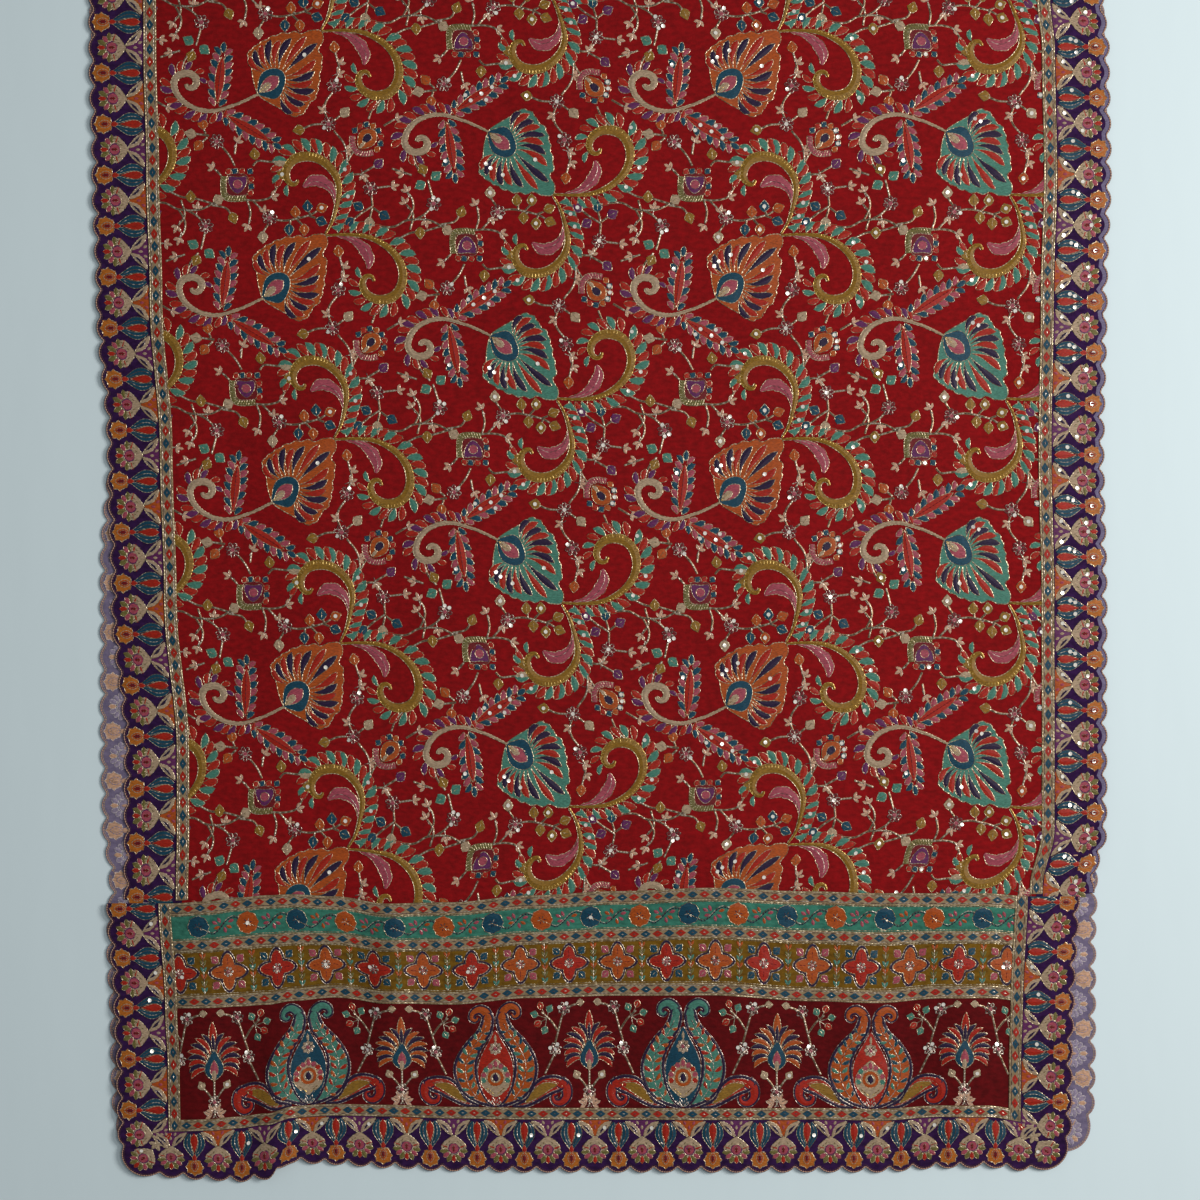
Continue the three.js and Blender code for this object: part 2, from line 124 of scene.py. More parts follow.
# x, then the drift of the pallu's cross lines towards the fold at the hem and at three of its braids
PALLU_DRIFT = np.array([
    (-398, -5, -11, -7.5, -7.4), (-365, -7, -10, -7, -5.6), (-335, -9, -8, -6, -2), (-309, -6, -4.5, -4.5, 0),
    (-286, 9, 2, -1, 1), (-246, 7, 3.7, 2.2, -1), (-199, 4, 3, -2.8, -7.4), (-139, 1, 1, -4.4, -6.5),
    (-64, 0, 0.5, 1.9, 0), (19, 0, 0, 4, 4), (102, 0, 0, 5, 7.4), (197, 0, 0, -1, 3.7), (260, 0, -1, -2.8, 2),
    (321, 4, 2.8, 1.9, 1.9), (358, 4.6, 2.8, 2, 1.9), (400, 1, -3, -2, -1),
])
# x where the ridge starts, its lean, its reach to either side, its height, and the stretch it runs over
RIDGES = [
    (-440, 0.0, 50, 3.0, -80, 260), (-372, 0.01, 46, 4.5, -80, 330), (-305, 0.04, 30, 6.0, -120, 200),
    (-197, 0.02, 30, 6.0, 30, 330), (-60, 0.0, 70, 2.5, -60, 240), (100, 0.03, 115, 6.0, -60, 420),
    (228, 0.05, 50, 2.5, 20, 340), (345, -0.03, 52, 5.0, -80, 330), (425, 0.0, 40, 2.5, -60, 300),
    (-395, 0.02, 60, 3.0, 280, 1140), (-260, -0.03, 70, 2.0, 300, 900), (-145, 0.04, 80, 2.4, 280, 760),
    (20, -0.05, 90, 2.2, 400, 1160), (170, 0.03, 75, 2.6, 280, 820), (300, -0.02, 70, 2.0, 480, 1180),
    (420, 0.0, 60, 3.4, 300, 1100),
]


# ---- how the cloth lies ----
def smooth(share: np.ndarray) -> np.ndarray:
    """Ease from 0 to 1."""
    t = np.clip(share, 0, 1)
    return t * t * (3 - 2 * t)


def bell(distance: np.ndarray, reach: float) -> np.ndarray:
    """A soft hump, 1 in the middle and 0 beyond its reach."""
    return np.where(np.abs(distance) < reach, 0.5 + 0.5 * np.cos(np.pi * distance / reach), 0)


def eased(table: np.ndarray, at: np.ndarray, column: int) -> np.ndarray:
    """Read a table's column at places along its first column, eased between rows.

    Args:
        table: rows whose first value is the key.
        at: the places.
        column: which value to read.

    Returns:
        The values.
    """
    keys = table[:, 0]
    at = np.clip(at, keys[0], keys[-1])
    i = np.clip(np.searchsorted(keys, at) - 1, 0, len(keys) - 2)
    share = smooth((at - keys[i]) / (keys[i + 1] - keys[i]))
    return table[i, column] + (table[i + 1, column] - table[i, column]) * share


def ridge_height(x: np.ndarray, from_hem: np.ndarray) -> np.ndarray:
    """Height of the upper layer's soft ridges.

    Args:
        x: across the laid cloth.
        from_hem: along it, from the front hem.

    Returns:
        The heights.
    """
    height = np.zeros_like(x)
    for start, lean, reach, rise, low, high in RIDGES:
        along = bell(from_hem - (low + high) / 2, (high - low) / 2)
        height += rise * along * bell(x - start - lean * (from_hem - low), reach)
    return height


def pallu_drift(x: np.ndarray, s: np.ndarray) -> np.ndarray:
    """How far the pallu's cross lines are pushed towards the fold.

    Args:
        x: across the laid cloth.
        s: along the flat cloth.

    Returns:
        The distances.
    """
    levels = np.array([0, END_SEAM, LOWER_SEAM, TOP_BRAID])
    values = np.stack([eased(PALLU_DRIFT, x, column) for column in (1, 2, 3, 4)])
    at = np.clip(s, 0, TOP_BRAID)
    i = np.clip(np.searchsorted(levels, at) - 1, 0, 2)
    share = smooth((at - levels[i]) / (levels[i + 1] - levels[i]))
    rows = np.arange(len(x))
    return values[i, rows] * (1 - share) + values[i + 1, rows] * share


class Crinkle:
    """The small uneven puckers of crepe, mostly running across the cloth."""

    def __init__(self, seed: int = 7) -> None:
        """Choose the waves that the puckers are made of.

        Args:
            seed: for the draws.
        """
        rng = np.random.default_rng(seed)
        self.length = rng.uniform(11, 46, 26)
        self.angle = rng.normal(math.pi / 2, 0.33, 26)
        self.phase = rng.uniform(0, 2 * math.pi, 26)
        self.patch = rng.uniform(70, 210, 26)
        self.patch_phase = rng.uniform(0, 2 * math.pi, (26, 2))

    def height(self, x: np.ndarray, y: np.ndarray) -> np.ndarray:
        """Height of the puckers on the laid cloth.

        Args:
            x: across it, in millimetres.
            y: along it.

        Returns:
            The heights.
        """
        total = np.zeros_like(x)
        for i, length in enumerate(self.length):
            across = x * math.cos(self.angle[i]) + y * math.sin(self.angle[i])
            patch = np.sin(x / self.patch[i] + self.patch_phase[i, 0]) * np.sin(
                y / self.patch[i] + self.patch_phase[i, 1])
            wave = np.sin(2 * math.pi * across / length + self.phase[i] + 0.9 * np.sin(x / 31 + i))
            total += 0.0055 * length * wave * np.clip(patch, 0, 1)
        return total


CRINKLE = Crinkle()


class Lay:
    """Carries flat points to where the cloth is held."""

    def middle(self, u: np.ndarray, s: np.ndarray) -> np.ndarray:
        """The middle of the cloth at flat points, which each lay works out in its own way.

        Args:
            u: across the flat cloth from its centre line, in millimetres.
            s: along it from the front hem.

        Returns:
            An (n, 3) array in millimetres.
        """
        raise NotImplementedError

    def place(self, flat: np.ndarray) -> np.ndarray:
        """Lift flat points (u, s, height above the cloth's middle) onto the laid cloth.

        Args:
            flat: an (n, 3) array in millimetres.

        Returns:
            An (n, 3) array in metres.
        """
        u, s = flat[:, 0].astype(float), flat[:, 1].astype(float)
        step = 0.8
        over_u = self.middle(u + step, s) - self.middle(u - step, s)
        over_s = self.middle(u, s + step) - self.middle(u, s - step)
        normal = np.cross(over_u, over_s)
        normal /= np.linalg.norm(normal, axis=1, keepdims=True)
        return (self.middle(u, s) + normal * flat[:, 2:3]) * MM


class FieldLay(Lay):
    """The upper half's field, its borders and the soft fold."""

    def middle(self, u: np.ndarray, s: np.ndarray) -> np.ndarray:
        """The middle of the cloth at flat points, in millimetres."""
        x = CENTRE_X + u * eased(FIELD_LIE, s, 1) + eased(FIELD_LIE, s, 2)
        fade = 1 - smooth((s - FIELD_START) / DRIFT_FADE)
        y = s - FIELD_OFFSET + pallu_drift(x, np.full_like(s, PALLU_LENGTH)) * fade
        climb = smooth((s - BEND_START + BEND_RISE_LENGTH) / BEND_RISE_LENGTH)
        tucked = TUCKED_RIDGE + (1 - TUCKED_RIDGE) * smooth((s - FIELD_BRAID_START) / TUCKED_FADE)
        crinkled = smooth((s - CRINKLE_START) / CRINKLE_FADE)
        relief = ridge_height(x, y) * tucked + (CRINKLE.height(x, y) + CRINKLE_LIFT) * crinkled
        z = FRONT_MID + (BACK_MID + 2 * BEND_RADIUS - FRONT_MID) * climb + relief * (1 - climb)
        angle = np.clip(s - BEND_START, 0, BEND_LENGTH) / BEND_RADIUS
        turning = s > BEND_START
        past = np.clip(s - BACK_START, 0, None)
        y = np.where(turning, BEND_START - FIELD_OFFSET + BEND_RADIUS * np.sin(angle) - past, y)
        z = np.where(turning, BACK_MID + BEND_RADIUS * (1 + np.cos(angle)), z)
        return np.stack([x, y + HEM_Y, z], axis=1)


class PalluLay(Lay):
    """The end panel, which is sewn over the field's end."""

    def middle(self, u: np.ndarray, s: np.ndarray) -> np.ndarray:
        """The middle of the cloth at flat points, in millimetres."""
        x = CENTRE_X + u * eased(PALLU_LIE, s, 1) + eased(PALLU_LIE, s, 2)
        y = s * PALLU_GATHER + pallu_drift(x, s)
        lap = LAP_RISE * smooth((s - LAP_START) / LAP_LENGTH)
        z = FRONT_MID + lap + ridge_height(x, y) + PALLU_CRINKLE * CRINKLE.height(x, y) + CRINKLE_LIFT
        return np.stack([x, y + HEM_Y, z], axis=1)


class BackLay(Lay):
    """The lower half, flat on the surface with its wrong side up."""

    def middle(self, u: np.ndarray, s: np.ndarray) -> np.ndarray:
        """The middle of the cloth at flat points, in millimetres."""
        x = CENTRE_X + u * eased(BACK_LIE, s, 1) + eased(BACK_LIE, s, 2)
        y = BEND_START - FIELD_OFFSET - (BACK_LENGTH - s) * BACK_GATHER
        return np.stack([x, y + HEM_Y, np.full_like(x, BACK_MID)], axis=1)


# ---- threads and finishes ----
class Thread(Enum):
    """Embroidery threads and trims, by sRGB colour. The last ones shine."""

    ORANGE = "#A8490E"
    AMBER = "#AE6118"
    FLAME = "#A21D06"
    TEAL = "#457C6A"
    BLUE = "#0C3F52"
    NAVY = "#261334"
    PURPLE = "#5E2052"
    MUSTARD = "#8B641C"
    PINK = "#A04452"
    CREAM = "#A99074"
    OLIVE = "#6B6230"
    CRIMSON = "#6C0A10"
    PALE = "#CEC2BC"
    PALE_WARM = "#C69A7C"
    LAVENDER = "#93859A"
    # painted sheen, not a thread: the band inside the right border's scallops
    PAINTED_SHEEN_MAUVE = "#6A5F7C"
    CORD = "#4A2A2C"
    ZARI = "#DAC7A2"
    # the _DIM metals are darker copies, used as painted shade between brighter couched stitches; ZARI_DIM is
    # also the dull gold under the vines
    ZARI_DIM = "#8A7454"
    SILVER = "#D2C2B0"
    SILVER_DIM = "#6A5850"
    GOLD = "#DAB868"
    GOLD_DIM = "#8C6C30"
    SEQUIN = "#FFF8EA"


THREADS = list(Thread)
(ORANGE, AMBER, FLAME, TEAL, BLUE, NAVY, PURPLE, MUSTARD, PINK, CREAM, OLIVE, CRIMSON, PALE, PALE_WARM,
 LAVENDER, PAINTED_SHEEN_MAUVE, CORD, ZARI, ZARI_DIM, SILVER, SILVER_DIM, GOLD, GOLD_DIM, SEQUIN) = THREADS
# each bright metal's darker copy, which couch() puts on random stitches as painted shade beside the bright
# ones
SPARKLE_SHADE_COPIES = {ZARI: ZARI_DIM, SILVER: SILVER_DIM, GOLD: GOLD_DIM}
METAL = [THREADS.index(thread) for pair in SPARKLE_SHADE_COPIES.items() for thread in pair]
# what each thread shows on the wrong side of the cloth, where only its loose under-stitches are seen
WRONG_SIDE = {
    **dict.fromkeys((*SPARKLE_SHADE_COPIES, *SPARKLE_SHADE_COPIES.values(), NAVY, SEQUIN), PALE),
    **dict.fromkeys((CRIMSON, ORANGE, AMBER, FLAME), PALE_WARM),
    **dict.fromkeys((CREAM, PINK, BLUE, PURPLE, OLIVE), LAVENDER),
}


def linear(hex_colour: str) -> tuple[float, float, float, float]:
    """Turn an sRGB hex colour into linear values.

    Args:
        hex_colour: such as "#8E1420".

    Returns:
        Red, green, blue and alpha.
    """
    values = [int(hex_colour[i : i + 2], 16) / 255 for i in (1, 3, 5)]
    r, g, b = (v / 12.92 if v <= 0.04045 else ((v + 0.055) / 1.055) ** 2.4 for v in values)
    return r, g, b, 1.0


def node(tree: bpy.types.NodeTree, kind: str, settings: dict | None = None,
         **inputs: object) -> bpy.types.Node:
    """Add a node with its settings, values and links.

    Args:
        tree: the material's node tree.
        kind: the node's type, such as "ShaderNodeTexNoise".
        settings: properties of the node itself.
        **inputs: values or output sockets by input name, with underscores for spaces.

    Returns:
        The node.
    """
    made = tree.nodes.new(kind)
    for name, value in (settings or {}).items():
        setattr(made, name, value)
    for name, value in inputs.items():
        socket = made.inputs[int(name[1:])] if name[0] == "_" else made.inputs[name.replace("_", " ")]
        if isinstance(value, bpy.types.NodeSocket):
            tree.links.new(value, socket)
        else:
            socket.default_value = value
    return made


@dataclass(frozen=True)
class Crepe:
    """Chiffon crepe: high-twist yarn gives a matt, pebbled face with a soft sheen at low angles."""

    name: str
    colour: str
    shade: str
    roughness: float = 0.82
    grain_mm: float = 1.6

    def material(self) -> bpy.types.Material:
        """Build the crepe's material.

        Returns:
            The material.
        """
        made = bpy.data.materials.new(self.name)
        made.use_nodes = True
        tree = made.node_tree
        shader = tree.nodes["Principled BSDF"]
        place = node(tree, "ShaderNodeTexCoord").outputs["Object"]
        # The yarn is 0.2 mm, too fine to show, so the pebble is drawn at 1.6 mm.
        grain = node(tree, "ShaderNodeTexNoise", Vector=place, Scale=1000 / self.grain_mm, Detail=3.0)
        stretched = node(tree, "ShaderNodeMapping", Vector=place, Scale=(0.6, 1.0, 1.0))
        slub = node(tree, "ShaderNodeTexNoise", Vector=stretched.outputs[0], Scale=270.0, Detail=4.0)
        patch = node(tree, "ShaderNodeTexNoise", Vector=place, Scale=9.0, Detail=2.0)
        mixed = node(tree, "ShaderNodeMix", {"data_type": "FLOAT"}, _0=0.2, _2=slub.outputs[0],
                     _3=patch.outputs[0])
        ramp = node(tree, "ShaderNodeValToRGB", Fac=mixed.outputs[0])
        ramp.color_ramp.elements[0].position = 0.34
        ramp.color_ramp.elements[1].position = 0.66
        ramp.color_ramp.elements[0].color = linear(self.shade)
        ramp.color_ramp.elements[1].color = linear(self.colour)
        tree.links.new(ramp.outputs[0], shader.inputs["Base Color"])
        coarse = node(tree, "ShaderNodeBump", Strength=0.55, Distance=0.0012, Height=slub.outputs[0])
        fine = node(tree, "ShaderNodeBump", Strength=0.5, Distance=0.0004, Height=grain.outputs[0],
                    Normal=coarse.outputs[0])
        tree.links.new(fine.outputs[0], shader.inputs["Normal"])
        shader.inputs["Roughness"].default_value = self.roughness
        shader.inputs["Sheen Weight"].default_value = 0.02
        shader.inputs["Sheen Roughness"].default_value = 0.5
        shader.inputs["Specular IOR Level"].default_value = 0.1
        return made


@dataclass(frozen=True)
class Floss:
    """Rayon floss in satin stitch: parallel threads give a soft gloss across each stitch."""

    name: str
    roughness: float
    metallic: float
    specular: float
    bump_mm: float
    vary: float

    def material(self) -> bpy.types.Material:
        """Build the material, which takes its colour from each piece's Thread attribute.

        Returns:
            The material.
        """
        made = bpy.data.materials.new(self.name)
        made.use_nodes = True
        tree = made.node_tree
        shader = tree.nodes["Principled BSDF"]
        place = node(tree, "ShaderNodeTexCoord").outputs["Object"]
        colour = node(tree, "ShaderNodeAttribute", {"attribute_name": "Thread"}).outputs["Color"]
        # Each stitch is 0.4 mm wide, so the ridges are drawn at 0.9 mm to show.
        turned = node(tree, "ShaderNodeMapping", Vector=place, Rotation=(0, 0, 0.6), Scale=(0.35, 1.0, 1.0))
        ridges = node(tree, "ShaderNodeTexNoise", Vector=turned.outputs[0], Scale=1100.0, Detail=2.0)
        shade = node(tree, "ShaderNodeMapRange", _0=ridges.outputs[0], _1=0.3, _2=0.7, _3=1 - self.vary,
                     _4=1 + self.vary * 0.5)
        toned = node(tree, "ShaderNodeVectorMath", {"operation": "SCALE"}, _0=colour)
        tree.links.new(shade.outputs[0], toned.inputs["Scale"])
        tree.links.new(toned.outputs[0], shader.inputs["Base Color"])
        bump = node(tree, "ShaderNodeBump", Strength=0.6, Distance=self.bump_mm * MM,
                    Height=ridges.outputs[0])
        tree.links.new(bump.outputs[0], shader.inputs["Normal"])
        shader.inputs["Roughness"].default_value = self.roughness
        shader.inputs["Metallic"].default_value = self.metallic
        shader.inputs["Specular IOR Level"].default_value = self.specular
        return made


class Finishes:
    """Every finish of the dupatta, each made once."""

    def __init__(self) -> None:
        """Make the materials."""
        self.crimson = Crepe("crimson crepe", "#900D11", "#730A0C").material()
        self.garnet = Crepe("garnet crepe", "#640A0E", "#4C0608").material()
        self.aubergine = Crepe("aubergine crepe", "#361846", "#240D30").material()
        self.lavender = Crepe("wrong side crepe", "#7C7088", "#665C74").material()
        self.sea_green = Crepe("sea green crepe", "#3F806B", "#2B5E4F").material()
        self.mustard = Crepe("mustard crepe", "#7C5A16", "#5E400C").material()
        self.braid = Crepe("woven braid", "#A28A6A", "#7A674A", 0.6, 1.2).material()
        self.floss = Floss("rayon floss", 0.5, 0.0, 0.25, 0.3, 0.36).material()
        self.zari = Floss("zari thread", 0.34, 0.6, 0.5, 0.3, 0.2).material()
        self.sequin = Floss("silver sequin", 0.2, 0.3, 0.5, 0.0, 0.0).material()


# ---- flat drawing ----
Points = Sequence[tuple[float, float]]


def curve(points: Points, step: float = 3.0, closed: bool = False) -> np.ndarray:
    """Draw a smooth line through points, with steps of even length.

    Args:
        points: the points, in order.
        step: the longest step, in millimetres.
        closed: whether the line returns to its start.

    Returns:
        An (n, 2) array. A closed line doesn't repeat its first point.
    """
    p = np.array(points, float)
    if closed:
        p = np.vstack([p[-1:], p, p[:2]])
    else:
        p = np.vstack([2 * p[0] - p[1], p, 2 * p[-1] - p[-2]])
    t = np.linspace(0, 1, 9)[:-1, None]
    parts = []
    for a, b, c, d in zip(p, p[1:], p[2:], p[3:]):
        parts.append(0.5 * (2 * b + (c - a) * t + (2 * a - 5 * b + 4 * c - d) * t**2
                            + (3 * b - a - 3 * c + d) * t**3))
    dense = np.vstack([*parts, p[-2:-1]])
    reach = np.concatenate([[0], np.cumsum(np.linalg.norm(np.diff(dense, axis=0), axis=1))])
    count = max(2, math.ceil(reach[-1] / step)) + 1
    at = np.linspace(0, reach[-1], count)
    line = np.stack([np.interp(at, reach, dense[:, k]) for k in (0, 1)], axis=1)
    return line[:-1] if closed else line


def mirrored(points: Points, side: int) -> list[tuple[float, float]]:
    """The points, or their mirror image where side is -1."""
    return [(side * x, y) for x, y in points]


def whole(half: Points) -> list[tuple[float, float]]:
    """A ring from its half, which starts and ends on the middle line."""
    return [*half, *[(-x, y) for x, y in half[-2:0:-1]]]


def heading(angle: float) -> np.ndarray:
    """The unit step in a direction, in degrees from the x axis."""
    return np.array([math.cos(math.radians(angle)), math.sin(math.radians(angle))])


def sideways(line: np.ndarray) -> np.ndarray:
    """The left-hand unit normals along a line."""
    along = np.gradient(line, axis=0)
    along /= np.maximum(np.linalg.norm(along, axis=1, keepdims=True), 1e-9)
    return np.stack([-along[:, 1], along[:, 0]], axis=1)


def arc(centre: tuple[float, float], radius: float, count: int, turn: float = 0.0) -> np.ndarray:
    """Points round a circle."""
    angle = turn + np.arange(count) * 2 * math.pi / count
    return np.stack([centre[0] + radius * np.cos(angle), centre[1] + radius * np.sin(angle)], axis=1)


def reach_to(ring: np.ndarray, centre: np.ndarray, angle: float) -> float:
    """How far a ring lies from a centre inside it.

    Args:
        ring: an (n, 2) array, in order.
        centre: a point inside it.
        angle: the direction, in degrees.

    Returns:
        The distance.
    """
    way = heading(angle)
    a, b = ring - centre, np.roll(ring, -1, axis=0) - centre
    edge = b - a
    cross = way[0] * edge[:, 1] - way[1] * edge[:, 0]
    cross = np.where(np.abs(cross) < 1e-9, 1e-9, cross)
    far = (a[:, 0] * edge[:, 1] - a[:, 1] * edge[:, 0]) / cross
    share = (a[:, 0] * way[1] - a[:, 1] * way[0]) / cross
    hits = far[(share >= 0) & (share <= 1) & (far > 0)]
    return float(hits.min()) if len(hits) else 1.0


class Stitchery:
    """Embroidery drawn flat, as triangles of thread in millimetres."""

    def __init__(self, seed: int = 11) -> None:
        """Start with bare cloth.

        Args:
            seed: for the draws.
        """
        self.points: list[np.ndarray] = []
        self.faces: list[np.ndarray] = []
        self.threads: list[np.ndarray] = []
        self.count = 0
        self.rng = np.random.default_rng(seed)

    def add(self, points: np.ndarray, faces: np.ndarray, thread: Thread | np.ndarray) -> None:
        """Add triangles of a thread.

        Args:
            points: an (n, 3) array of u, s and height.
            faces: an (m, 3) array of point numbers.
            thread: one thread for all, or a thread number for each face.
        """
        faces = np.asarray(faces, int).reshape(-1, 3)
        numbers = thread if isinstance(thread, np.ndarray) else np.full(len(faces), THREADS.index(thread))
        self.points.append(np.asarray(points, float))
        self.faces.append(faces + self.count)
        self.threads.append(numbers)
        self.count += len(points)

    def merged(self) -> tuple[np.ndarray, np.ndarray, np.ndarray]:
        """All points, faces and thread numbers, each as one array."""
        return np.vstack(self.points), np.vstack(self.faces), np.concatenate(self.threads)

    def repeat(self, other: "Stitchery", matrix: np.ndarray,
               swap: dict[Thread, Thread] | None = None) -> None:
        """Copy another drawing into this one.

        Args:
            other: the drawing to copy.
            matrix: 2 by 3, which places it.
            swap: threads to change on the way.
        """
        points, faces, threads = other.merged()
        placed = points.copy()
        placed[:, :2] = points[:, :2] @ matrix[:, :2].T + matrix[:, 2]
        if np.linalg.det(matrix[:, :2]) < 0:
            faces = faces[:, ::-1]
        changed = threads.copy()
        for before, after in (swap or {}).items():
            changed[threads == THREADS.index(before)] = THREADS.index(after)
        self.add(placed, faces, changed)

    def clipped(self, low: Sequence[float], high: Sequence[float]) -> "Stitchery":
        """Keep what lies in a box of the flat cloth, trimmed to its edges.

        Args:
            low: the box's lower corner.
            high: its upper corner.

        Returns:
            What is kept.
        """
        points, faces, threads = self.merged()
        outside = np.any((points[:, :2] < low) | (points[:, :2] > high), axis=1)
        keep = ~outside[faces].all(axis=1)
        trimmed = points.copy()
        trimmed[:, :2] = np.clip(points[:, :2], low, high)
        kept = Stitchery()
        kept.add(trimmed, faces[keep], threads[keep])
        return kept

    # ---- stitches ----
    def ribbon(self, line: np.ndarray, widths: np.ndarray | float, thread: Thread, level: float = 0.2,
               crown: float = 0.35) -> None:
        """Satin stitch along a line, raised along its middle.

        Args:
            line: the middle, an (n, 2) array.
            widths: the full width, along the line or at each point.
            thread: its thread.
            level: height of its edges.
            crown: how far its middle stands above them.
        """
        half = np.broadcast_to(np.asarray(widths, float), len(line)) / 2
        side = sideways(line) * half[:, None]
        n = len(line)
        points = np.vstack([
            np.column_stack([line + side, np.full(n, level)]),
            np.column_stack([line, level + crown * np.minimum(half / 1.2, 1)]),
            np.column_stack([line - side, np.full(n, level)]),
        ])
        i = np.arange(n - 1)
        faces = [(i, i + n, i + n + 1), (i, i + n + 1, i + 1),
                 (i + n, i + 2 * n, i + 2 * n + 1), (i + n, i + 2 * n + 1, i + n + 1)]
        self.add(points, np.vstack([np.column_stack(f) for f in faces]), thread)

    def leaf(self, base: Sequence[float], tip: Sequence[float], width: float, thread: Thread | None,
             bend: float = 0.0, level: float = 0.2, fat: float = 0.8, outline: Thread | None = ZARI,
             gauge: float = 1.15, crown: float = 0.4) -> None:
        """A leaf or petal in satin stitch, with its couched outline.

        Args:
            base: where it starts.
            tip: where it ends.
            width: at its widest.
            thread: its thread, or None for an open one.
            bend: how far its middle bows to the left.
            level: height of its edges.
            fat: below 1 the widest place is nearer to the base, above 1 nearer to the tip.
            outline: the outline's thread, if it has one.
            gauge: the outline's width.
            crown: how far the middle rises.
        """
        base, tip = np.array(base, float), np.array(tip, float)
        along = tip - base
        length = float(np.hypot(*along))
        left = np.array([-along[1], along[0]]) / max(length, 1e-6)
        t = np.linspace(0, 1, max(4, min(8, round(length / 3.8))) + 1)
        spine = base + np.outer(t, along) + np.outer(4 * t * (1 - t) * bend, left)
        widths = width * np.sin(math.pi * t**fat) ** 0.75
        if thread is not None:
            self.ribbon(spine, widths, thread, level, crown)
        if outline is not None:
            side = sideways(spine) * (widths / 2)[:, None]
            ring = np.vstack([spine + side, (spine - side)[-2:0:-1]])
            self.couch(ring, outline, gauge, level, closed=True)

    def patch(self, outline: np.ndarray, thread: Thread, level: float = 0.2, crown: float = 0.25,
              spacing: float = 7.0, rim: Thread | None = None, gauge: float = 1.2) -> None:
        """Fill an outline, with points inside it so that it follows the cloth.

        Args:
            outline: an (n, 2) array, in order.
            thread: its thread.
            level: height of its edge.
            crown: how far its inside rises.
            spacing: between the points inside.
            rim: the thread of a couched outline, if it has one.
            gauge: the couched outline's width.
        """
        low, high = outline.min(axis=0), outline.max(axis=0)
        inside = [
            (x, y)
            for x in np.arange(low[0] + spacing / 2, high[0], spacing)
            for y in np.arange(low[1] + spacing / 2, high[1], spacing)
            if np.min(np.linalg.norm(outline - (x, y), axis=1)) > spacing * 0.4
            and self._within(outline, x, y)
        ]
        corners = [Vector(p) for p in [*outline.tolist(), *inside]]
        found = delaunay_2d_cdt(corners, [], [list(range(len(outline)))], 1, 1e-4)
        points = np.array([(p.x, p.y, 0.0) for p in found[0]])
        origin = np.array([min(o) if len(o) else 10**6 for o in found[3]])
        points[:, 2] = np.where(origin < len(outline), level, level + crown)
        faces = np.array([f for f in found[2] if len(f) == 3])
        if len(faces):
            a, b, c = (points[faces[:, k], :2] for k in range(3))
            turn = (b[:, 0] - a[:, 0]) * (c[:, 1] - a[:, 1]) - (b[:, 1] - a[:, 1]) * (c[:, 0] - a[:, 0])
            faces[turn < 0] = faces[turn < 0][:, ::-1]
            self.add(points, faces, thread)
        if rim is not None:
            self.couch(outline, rim, gauge, level, closed=True)

    @staticmethod
    def _within(outline: np.ndarray, x: float, y: float) -> bool:
        """Whether a point lies inside an outline.

        Args:
            outline: an (n, 2) array, in order.
            x: the point's first measure.
            y: its second one.

        Returns:
            True inside.
        """
        a, b = outline, np.roll(outline, -1, axis=0)
        crosses = (a[:, 1] > y) != (b[:, 1] > y)
        with np.errstate(divide="ignore", invalid="ignore"):
            at = a[:, 0] + (y - a[:, 1]) * (b[:, 0] - a[:, 0]) / (b[:, 1] - a[:, 1])
        return bool(np.count_nonzero(crosses & (at > x)) % 2)

    def couch(self, line: np.ndarray, thread: Thread = ZARI, gauge: float = 1.2, level: float = 0.2,
              closed: bool = False, pitch: float = 3.2) -> None:
        """Couch metal thread along a line: a row of short raised stitches, about half of them in a darker
        copy of the thread as painted sparkle shade.

        Args:
            line: an (n, 2) array.
            thread: its thread.
            gauge: its width.
            level: height of the ground it lies on.
            closed: whether the line returns to its start.
            pitch: from one stitch to the next.
        """
        line = np.asarray(line, float)
        if closed:
            line = np.vstack([line, line[:1]])
        steps = np.linalg.norm(np.diff(line, axis=0), axis=1)
        reach = np.concatenate([[0], np.cumsum(steps)])
        count = max(1, round(reach[-1] / pitch))
        each = reach[-1] / count
        at = (np.arange(count) + 0.5) * each
        ends = [np.stack([np.interp(at + k * each * 0.6, reach, line[:, c]) for c in (0, 1)], axis=1)
                for k in (-1, 1)]
        middle = (ends[0] + ends[1]) / 2
        along = ends[1] - ends[0]
        along /= np.maximum(np.linalg.norm(along, axis=1, keepdims=True), 1e-6)
        side = np.stack([-along[:, 1], along[:, 0]], axis=1) * gauge * 0.42
        low, high = np.full(count, level), level + gauge * (0.1 + 0.18 * self.rng.random(count))
        points = np.vstack([np.column_stack([p, z]) for p, z in [
            (ends[0], low), (middle - side, low), (ends[1], low), (middle + side, low), (middle, high)]])
        i = np.arange(count)
        faces = [np.column_stack([i + a * count, i + b * count, i + 4 * count])
                 for a, b in ((0, 1), (1, 2), (2, 3), (3, 0))]
        # painted sparkle: random stitches take the darker copy, as painted shade
        sparkle_shade_twin = SPARKLE_SHADE_COPIES.get(thread, thread)
        numbers = np.where(self.rng.random(count) < 0.46, THREADS.index(sparkle_shade_twin), THREADS.index(thread))
        self.add(points, np.vstack(faces), np.tile(numbers, 4))

    def edged(self, line: np.ndarray, out: np.ndarray, gauge: float, level: float) -> None:
        """Couch gold thread along both edges of a line, which are the same steps out to either side."""
        for sign in (1, -1):
            self.couch(line + sign * out, ZARI, gauge, level)

